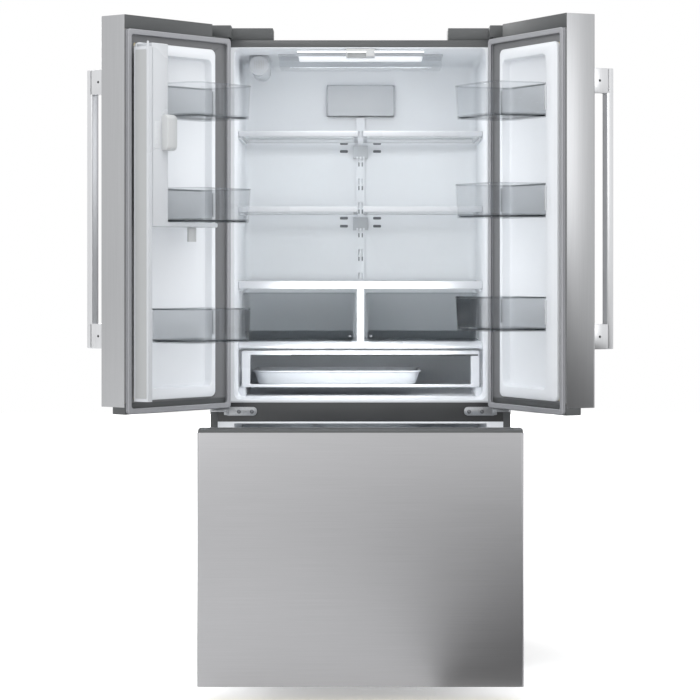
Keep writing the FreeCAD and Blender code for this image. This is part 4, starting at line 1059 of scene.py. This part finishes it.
# ---------------------------------------------------------------- fresh-food compartment
@dataclass
class FreshFoodRoom:
    """The lined compartment with its duct, lamp, shelves, crispers and pantry drawer."""

    corner: float = 16.0
    half: float = 348.0
    floor: float = 746.0
    ceiling: float = 1720.0
    wall: float = 3.0
    rib_run: Span = (197.0, 560.0)
    shelf_step: float = 215.0
    lamp_half: float = 176.0
    baffle_half: float = 230.0
    baffle_foot: float = 1680.0
    levels: tuple[float, ...] = (1485.0, 1270.0, 1052.0, 883.0)

    def liner(self) -> None:
        """Builds the white liner with soft corners, shelf ribs and drawer runners."""
        x, y, z = CABINET.box("fridge_liner")
        half, ceiling, floor, wall = self.half, self.ceiling, self.floor, self.wall
        back = y[1] - wall
        skin = ((half + wall, 14, back + wall), (half + wall, 5, back + wall),
                (half + wall, 0, back - 12), (half + wall, 0, wall))
        rings = []
        for reach, inset, level in skin:
            outline = rounded_rectangle((-reach + inset, reach - inset),
                                        (floor - wall + inset, ceiling + wall - inset), 12, 6)
            rings.append([Axis.Y.point(a, b, level) for a, b in outline])
        for level in (wall, 0.0):
            rings.append([Axis.Y.point(a, b, level) for a, b in rounded_rectangle(x, z, 3, 6)])
        for inset, level in ((-1.5, 0.0), (0, 4), (0, back - 22), (1.5, back - 13), (6, back - 6),
                             (13, back - 1.5), (22, back)):
            outline = rounded_rectangle((-half + inset, half - inset),
                                        (floor + max(inset, -0.5), ceiling - inset),
                                        self.corner - inset / 4, 6)
            rings.append([Axis.Y.point(a, b, level) for a, b in outline])
        shape = Shape().loft(rings)
        for level in self.levels:
            for side in (-1, 1):
                shape.slab(Axis.X, self.rib_run, (level - 6, level), mirrored(side, 340, 349), 2.8)
        for side in (-1, 1):
            shape.block(mirrored(side, 328, 347.5), self.rib_run, (floor - 1, 771.7), 2.0)
        shape.out("fridge_liner_shell", CABINET, Look.LINER, "white_liner", ("fridge_liner",))

    def duct(self) -> None:
        """Builds the airflow panel, the slotted spine, its brackets and the small vents; the slots
        and vents are grey slabs of painted shade.
        """
        refined("air_duct", CABINET, Look.LINER, "white_trim", 1.0)
        _, y, _ = CABINET.box("air_duct")
        front = y[0] - 1.2
        Shape().slab(Axis.Y, (-99.6, 99.6), (1568.4, 1658.6), (front, y[0] + 2), 6, 1.1).out(
            "airflow_panel", CABINET, Look.WHITE, "white_trim")
        # Grey slabs on the spine's face: painted shade of its slot openings.
        slot = Shape().slab(Axis.Y, (-6.5, -3), (1416, 1429), (587.2, 589.0), 1.6, 0.3)
        ROWS.repeat("spine_slots", slot, CABINET, Look.SLOT,
                    (2, (10.0, 0, 0)), (7, (0, 0, -71.0)))
        # Grey slabs on the rear wall: painted shade of the small vent openings.
        vent_shade = Shape().slab(Axis.Y, (-62, -38), (1482, 1490), (598.6, 600.6), 3, 0.4)
        vent_shade.slab(Axis.Y, (-62, -38), (1458, 1466), (598.6, 600.6), 3, 0.4)
        ROWS.repeat("rear_vents", vent_shade, CABINET, Look.SLOT,
                    (2, (100.0, 0, 0)), (2, (0, 0, -225.0)))
        bracket = Shape().prism(Axis.X, [(572, 1478), (599, 1478), (599, 1440), (590, 1440),
                                         (583, 1462)], (-22, 22), 1.2)
        ROWS.repeat("spine_brackets", bracket, CABINET, Look.WHITE,
                    (1, (0, 0, 0)), (2, (0, 0, -self.shelf_step)))

    def lamp(self) -> None:
        """Builds the ceiling lamp with its baffle and bright bar, the guide and the filter."""
        refined("ceiling_light", CABINET, Look.WHITE, "white_trim", 1.0)
        _, y, z = CABINET.box("ceiling_light")
        lit, across = (-self.lamp_half, self.lamp_half), (-self.baffle_half, self.baffle_half)
        foot = self.baffle_foot
        Shape().slab(Axis.Z, lit, (y[0] + 8, y[1] - 8), (z[0] - 1.2, z[0] + 1), 10, 0.8).out(
            "lamp_diffuser", CABINET, Look.LAMP, "lamp_cover")
        baffle = Shape().slab(Axis.Y, across, (foot, z[0] + 1), (y[0] + 3, y[0] + 6), 3, 0.8)
        baffle.slab(Axis.Z, across, (y[0] + 3, y[1] - 20), (foot, foot + 3), 6, 0.9)
        baffle.out("lamp_baffle", CABINET, Look.SMOKE, "clear_plastic")
        Shape().slab(Axis.Y, lit, (1709.0, 1713.5), (2.2, 4.6), 2, 0.5).out(
            "lamp_front_bar", CABINET, Look.LAMP, "lamp_cover")
        refined("mullion_guide", CABINET, Look.LIGHT_TRIM, "white_trim", 1.0)
        refined("water_filter", CABINET, Look.WHITE, "white_trim", 1.2)
        fx, fy, fz = CABINET.box("water_filter")
        rib = Shape().block((fx[0] + 14, fx[0] + 16.5), (fy[0] - 0.8, fy[0] + 3),
                            (fz[0] + 16, fz[1] - 16), 0.6)
        ROWS.repeat("filter_grip_ribs", rib, CABINET, Look.LIGHT_TRIM,
                    (6, (5.0, 0, 0)))

    def shelves(self) -> None:
        """Builds the shelf frames, their bullnose trims and the glass."""
        refined("shelf_frames", CABINET, Look.WHITE, "white_trim", 1.4)
        refined("shelf_glass", CABINET, Look.GLASS, "shelf_glass", 0.5)
        refined("crisper_frame", CABINET, Look.WHITE, "white_trim", 1.4)
        y = CABINET.box("crisper_frame")[1]
        foot = [(-32, 884), (32, 884), (32, 893), (24, 901.5), (-24, 901.5), (-32, 893)]
        post = Shape().prism(Axis.Y, foot, (y[0] - 1.0, y[0] + 16), 2.0)
        post.slab(Axis.Y, (-10.5, 10.5), (899, 946), (y[0] + 3, y[0] + 18), 5, 1.8)
        post.out("divider_foot", CABINET, Look.WHITE, "white_trim")

    def crispers(self) -> None:
        """Builds the two clear crispers with their edges, grip bands and latches."""
        for side, word in ((-1, "left"), (1, "right")):
            node = word + "_crisper"
            place = Place(node)
            x, y, z = place.box(node)
            Shape().tub((x[0] + 1, x[1] - 1), (y[0] + 9, y[1]), (z[0], z[1] - 2), 2.5, 14,
                        4.0, 1.5).out(node + "_tub", place, Look.SMOKE, "clear_plastic", (node,))
            trim = Shape().frame(Axis.Y, x, (z[0] + 1, z[1]), (y[0] + 1.5, y[0] + 9.5),
                                 (4.0, 4.0, 5.0, 4.0), 7, 1.4)
            trim.out(node + "_edge", place, Look.SMOKE, "clear_plastic")
            Shape().slab(Axis.Y, (x[0] + 5, x[1] - 5), (z[0] + 6, z[0] + 32), (y[0], y[0] + 4), 7,
                         1.6).out(node + "_grip", place, Look.SMOKE, "clear_plastic")
            inner = x[1] - 16 if side < 0 else x[0] + 16
            Shape().slab(Axis.Y, (inner - 4, inner + 4), (z[0] + 14, z[0] + 19),
                         (y[0] - 0.6, y[0] + 1), 2, 0.3).out(
                node + "_latch", place, Look.SLOT, "grey_trim")

    def pantry(self) -> None:
        """Builds the wide drawer: white frame, clear tub and the tray in it."""
        place = Place("pantry_drawer")
        x, y, z = place.box("pantry_drawer")
        front, face = y[0], y[0] + 12
        shape = Shape().frame(Axis.Y, x, z, (front, face), (24.0, 24.0, 8.0, 12.0), 5, 1.4)
        shape.out("pantry_front_frame", place, Look.WHITE, "white_trim", ("pantry_drawer",))
        Shape().tub((x[0] + 2, x[1] - 2), (face - 2, y[1]), z, 2.5, 12, 3.0, 0.0).out(
            "pantry_tub", place, Look.CLEAR, "clear_plastic")
        Shape().tub((x[0] + 30, x[1] - 165), (face + 8, y[1] - 60), (z[0] + 4, z[0] + 46), 2.5, 40,
                    8.0, 4.0).out("pantry_tray", place, Look.WHITE, "white_trim")
        # A black strip near the top of the front: painted shade of the grip slit's opening.
        Shape().slab(Axis.Y, (x[0] + 140, x[1] - 3), (z[1] - 14.5, z[1] - 10.5),
                     (front - 0.6, front + 6), 1.8, 0.3).out(
            "pantry_grip_slit", place, Look.BLACK, "black_plastic")

    def build(self) -> None:
        """Builds everything in the compartment."""
        self.liner()
        self.duct()
        self.lamp()
        self.shelves()
        self.crispers()
        self.pantry()


# ---------------------------------------------------------------- freezer compartment
@dataclass
class FreezerRoom:
    """The freezer's liner, slides and upper tray."""

    def build(self) -> None:
        """Builds the compartment's pieces."""
        refined("freezer_liner", CABINET, Look.LINER, "white_liner", 1.4)
        refined("drawer_rails_outer", CABINET, Look.ZINC, "zinc_sheet", 0.5)
        middle = Place("drawer_rails_middle")
        refined("drawer_rails_middle", middle, Look.ZINC, "zinc_sheet", 0.5)
        place = Place("freezer_tray")
        x, y, z = place.box("freezer_tray")
        tray = Shape().tub((x[0] + 0.5, x[1] - 0.5), y, z, 3.0, 16, 5.0, 3.0)
        for side in (-1, 1):
            tray.block(mirrored(side, x[1] - 9, x[1]), (y[0] + 30, y[1] - 10),
                       (z[1] - 16, z[1] - 4), 1.5)
        tray.out("freezer_tray_tub", place, Look.SMOKE, "clear_plastic", ("freezer_tray",))
        Shape().slab(Axis.Y, (x[0] + 4, x[1] - 4), (z[1] - 34, z[1] - 1), (y[0] - 0.5, y[0] + 6),
                     6, 1.6).out("freezer_tray_grip", place, Look.WHITE, "white_trim")


@dataclass
class FreezerDrawer:
    """The lower drawer: a brushed front, its grip trim, inner panel, seal and basket."""

    seal: float = 14.0

    def __post_init__(self) -> None:
        """Reads the drawer's place from its slide."""
        self.place = Place.of_joint("freezer_drawer", "freezer_drawer_slide")

    def front(self) -> None:
        """Builds the steel front, the dark grip along its top and the inner panel."""
        refined("drawer_skin", self.place, Look.STEEL, "stainless", 0.25)
        refined("drawer_grip_trim", self.place, Look.DARK_TRIM, "grey_trim", 1.0)
        refined("drawer_liner", self.place, Look.DOOR_LINER, "white_liner", 1.2)
        dressed(Look.FOAM, "drawer_foam")
        x, y, z = self.place.box("drawer_gasket")
        seal_ring(x, y, z, self.seal).out("drawer_gasket_lips", self.place, Look.SEAL, "seal_grey",
                                          ("drawer_gasket",))

    def basket(self) -> None:
        """Builds the deep basket with its rolled rim and the slide members it rides on."""
        x, y, z = self.place.box("freezer_basket")
        tub = Shape().tub((-323.4, 323.4), y, z, 3.0, 18, 6.0, 0.0)
        tub.frame(Axis.Z, x, y, (z[1] - 3.0, z[1]), (10.0, 10.0, 3.0, 3.0), 6, 0.8)
        tub.out("freezer_basket_tub", self.place, Look.WHITE, "white_trim", ("freezer_basket",))
        rib = Shape().block((-300, -296), (y[0] + 1.0, y[0] + 4), (z[0] + 40, z[1] - 30), 1.2)
        ROWS.repeat("freezer_basket_ribs", rib, self.place, Look.WHITE,
                    (16, (39.7, 0, 0)))
        refined("drawer_rails_inner", self.place, Look.ZINC, "zinc_sheet", 0.5)

    def build(self) -> None:
        """Builds the whole drawer."""
        self.front()
        self.basket()


def seal_ring(x: Span, y: Span, z: Span, width: float) -> Shape:
    """Returns a door seal: a flat foot, a bellows and a rounded magnet bulb.

    Args:
        x: The seal's span across.
        y: Its span from the door to the cabinet.
        z: Its span upwards.
        width: The width of the bulb.

    Returns:
        The seal as a shape.
    """
    depth = y[1] - y[0]
    shape = Shape().frame(Axis.Y, (x[0] + 1, x[1] - 1), (z[0] + 1, z[1] - 1),
                          (y[0], y[0] + depth * 0.3), width - 3, 7, 1.0)
    shape.frame(Axis.Y, (x[0] + 3.5, x[1] - 3.5), (z[0] + 3.5, z[1] - 3.5),
                (y[0] + depth * 0.22, y[0] + depth * 0.62), width - 8, 6, 1.0)
    return shape.frame(Axis.Y, x, z, (y[0] + depth * 0.55, y[1]), width, 8, 1.8)


# ---------------------------------------------------------------- doors
class Side(Enum):
    """The two doors; the value is the sign of x on that side."""

    LEFT = -1
    RIGHT = 1

    @property
    def word(self) -> str:
        """The side's name as the CAD nodes spell it."""
        return self.name.lower()


@dataclass
class Door:
    """One insulated door with its steel skin, inner panel, seal, handle and bins."""

    side: Side
    levels: tuple[float, float, float]
    bin_height: float = 91.0
    recess_floor: float = -30.0
    field: Span = (38.8, 352.0)
    field_height: Span = (762.0, 1705.0)
    sunk: Span = (100.5, 336.1)
    sunk_height: Span = (792.0, 1675.0)

    def __post_init__(self) -> None:
        """Reads the door's place from its hinge."""
        word = self.side.word
        self.place = Place.of_joint(word + "_door", word + "_door_hinge")

    def across(self, near: float, far: float) -> Span:
        """Returns an x span on this door's side."""
        return mirrored(self.side.value, near, far)

    def piece(self, shape: Shape, name: str, look: Look, slot: str, *replaced: str) -> None:
        """Hands over a shape as one of this door's pieces, for CAD nodes of this door."""
        word = self.side.word + "_door_"
        shape.out(word + name, self.place, look, slot, tuple(word + r for r in replaced))

    def skin(self) -> None:
        """Builds the steel skin and the grey end caps."""
        word = self.side.word
        refined(word + "_door_skin", self.place, Look.STEEL_UPRIGHT, "stainless", 0.25)
        refined(word + "_door_caps", self.place, Look.DARK_TRIM, "grey_trim", 0.8)
        dressed(Look.FOAM, word + "_door_foam")

    def inner_panel(self) -> None:
        """Builds the grey surround and the white panel with its raised rim and sunk middle."""
        flange = self.across(4.2, 414.8)
        field = self.across(*self.field)
        widths = (field[0] - flange[0] - 2, flange[1] - field[1] - 2)
        low, high = 757.0, 1738.0
        surround = Shape().frame(Axis.Y, flange, (low, high), (-15.0, -11.6),
                                 (*widths, self.field_height[0] - low + 2,
                                  high - self.field_height[1] + 2), 4, 0.8)
        self.piece(surround, "flange", Look.MID_TRIM, "grey_trim")
        sunk = (self.across(*self.sunk), self.sunk_height)
        wide = (field, self.field_height)
        rings = []
        for (span, height), inset, level, radius in (
                (sunk, 12.0, -33.0, 14.0), (sunk, -2.5, -30.0, 18.0), (sunk, -2.8, -15.0, 18.0),
                (wide, 0.0, -15.0, 16.0), (wide, 0.0, -8.5, 16.0), (wide, 1.0, -6.2, 16.0),
                (wide, 3.5, -5.0, 15.0), (sunk, -5.0, -5.0, 20.0), (sunk, -1.6, -6.2, 18.0),
                (sunk, 0.0, -9.5, 16.0), (sunk, 0.0, -23.0, 16.0), (sunk, 2.5, -28.0, 16.0),
                (sunk, 8.0, self.recess_floor, 14.0)):
            outline = rounded_rectangle((span[0] + inset, span[1] - inset),
                                        (height[0] + inset, height[1] - inset), radius, 6)
            rings.append([Axis.Y.point(u, v, level) for u, v in outline])
        panel = Shape().loft(rings)
        self.piece(panel, "inner_panel", Look.DOOR_LINER, "white_liner", "liner")
        self.guides()

    def guides(self) -> None:
        """Builds the upright ledges that the bins hook on."""
        shape = Shape()
        for level in self.levels:
            for near, far in ((92.0, 100.2), (336.4, 344.6)):
                shape.slab(Axis.Y, self.across(near, far), (level + 18, level + 84), (-6.0, -1.6), 4,
                           1.6)
        self.piece(shape, "bin_ledges", Look.WHITE, "white_trim")

    def seal(self) -> None:
        """Builds the seal with its bulb and bellows."""
        x, y, z = self.place.box(self.side.word + "_door_gasket")
        self.piece(seal_ring(x, y, z, 14.0), "gasket_lips", Look.SEAL, "seal_grey", "gasket")

    def handle(self) -> None:
        """Builds the flat bar, its two end blocks and their set screws."""
        x, y, z = self.place.box(self.side.word + "_door_handle")
        bar = Shape().block(x, (y[0], y[0] + 20), z, 2.6, 3)
        for low, high in ((z[0], z[0] + 66), (z[1] - 66, z[1])):
            bar.block(x, (y[0] + 12, y[1]), (low, high), 1.6, 2)
        self.piece(bar, "handle_bar", Look.SATIN, "satin_bar", "handle")
        dots = Shape()
        edge = x[0] if self.side is Side.RIGHT else x[1]
        for middle in (z[0] + 33, z[1] - 33):
            for a, b, radius in ((-0.3, 0.25, 3.4), (-0.6, 0.35, 2.4)):
                sign = self.side.value
                dots.rod((edge - a * sign, y[1] - 20, middle), (edge - b * sign, y[1] - 20, middle),
                         radius, 20, 0.1)
        self.piece(dots, "handle_set_screws", Look.BLACK, "black_plastic")

    def bins(self) -> None:
        """Builds three clear bins that narrow downwards, with tinted floors and thick rims."""
        x, y, _ = self.place.box(self.side.word + "_door_bins")
        clear, tint = Shape(), Shape()
        for level in self.levels:
            top = level + self.bin_height
            clear.tub((x[0] + 0.4, x[1] - 0.4), (y[0] + 0.3, y[1] - 0.4), (level, top), 2.6, 26,
                      5.0, 0.0)
            tint.frame(Axis.Z, x, y, (top - 4.0, top), 3.4, 26, 1.2)
            low = ((x[0] + 5, x[1] - 5), (y[0] + 5, y[1] - 5))
            tint.frame(Axis.Z, *low, (level, level + 9.0), 2.2, 22, 0.9)
            tint.slab(Axis.Z, (x[0] + 10, x[1] - 10), (y[0] + 10, y[1] - 10),
                      (level + 2.8, level + 5.6), 20, 0.8)
        self.piece(clear, "bins_clear", Look.CLEAR, "clear_plastic", "bins")
        self.piece(tint, "bin_rims", Look.SMOKE, "clear_plastic")

    def build(self) -> None:
        """Builds the whole door."""
        self.skin()
        self.inner_panel()
        self.seal()
        self.handle()
        self.bins()


@dataclass
class LeftDoor(Door):
    """The left door, which also carries the dispenser and the mullion flap."""

    stripe: float = 5.5

    def dispenser(self) -> None:
        """Builds the raised housing, its blank panel, the side pod, the ledge under the housing in
        dark grey as its painted shadow, and the nozzle.
        """
        refined("dispenser_housing", self.place, Look.WHITE, "white_trim", 3.0)
        face = 53.0
        panel = Shape().slab(Axis.Y, self.across(45, 69), (1424, 1496),
                             (face - 1, face + 1.2), 4, 0.8)
        self.piece(panel, "control_panel", Look.PANEL, "light_grey")
        key = Shape().slab(Axis.Y, self.across(51, 63), (1434, 1440),
                           (face + 0.8, face + 1.6), 2.5, 0.3)
        ROWS.repeat("left_door_panel_keys", key, self.place, Look.PANEL,
                    (1, (0, 0, 0)), (4, (0, 0, 15.5)))
        pod = Shape().slab(Axis.X, (28.0, 75.0), (1419.0, 1514.0), self.across(74, 113), 13, 5.0)
        self.piece(pod, "side_pod", Look.LIGHT_TRIM, "light_grey")
        # A dark strip under the housing: painted shadow of the housing.
        line = Shape().slab(Axis.Z, self.across(42, 97), (3, 50), (1221.5, 1224.4), 4, 0.8)
        self.piece(line, "housing_shadow_trim", Look.DARK_TRIM, "grey_trim")
        nozzle = Place("dispenser_paddle", self.place.shut_to_rest)
        refined("dispenser_paddle", nozzle, Look.LIGHT_TRIM, "light_grey", 1.2)

    def flap(self) -> None:
        """Builds the folding mullion flap: a white core with grey faces."""
        place = Place("mullion_flap", self.place.shut_to_rest)
        refined("mullion_flap", place, Look.WHITE, "light_grey", 1.2)
        x, y, z = place.box("mullion_flap")
        face = (x[1] - 16.0, x[1])
        shape = Shape()
        for level, out in ((face[0], -1), (face[1], 1)):
            depth = (level - 0.8, level + 1.0) if out < 0 else (level - 1.0, level + 0.8)
            shape.slab(Axis.X, (y[0] + self.stripe, y[1] - self.stripe), (z[0] + 8, z[0] + 920),
                       depth, 3, 0.5)
        shape.out("mullion_flap_faces", place, Look.FLAP, "light_grey")

    def build(self) -> None:
        """Builds the door, the dispenser and the flap."""
        super().build()
        self.dispenser()
        self.flap()


def main() -> None:
    """Builds the studio and every sub-assembly."""
    logging.basicConfig(level=logging.INFO, format="%(message)s")
    Studio().build()
    Cabinet().build()
    Machinery().build()
    FreshFoodRoom().build()
    FreezerRoom().build()
    LeftDoor(Side.LEFT, (1508.0, 1232.0, 913.0)).build()
    Door(Side.RIGHT, (1510.0, 1245.0, 944.0)).build()
    FreezerDrawer().build()


if __name__ == "__main__":
    main()
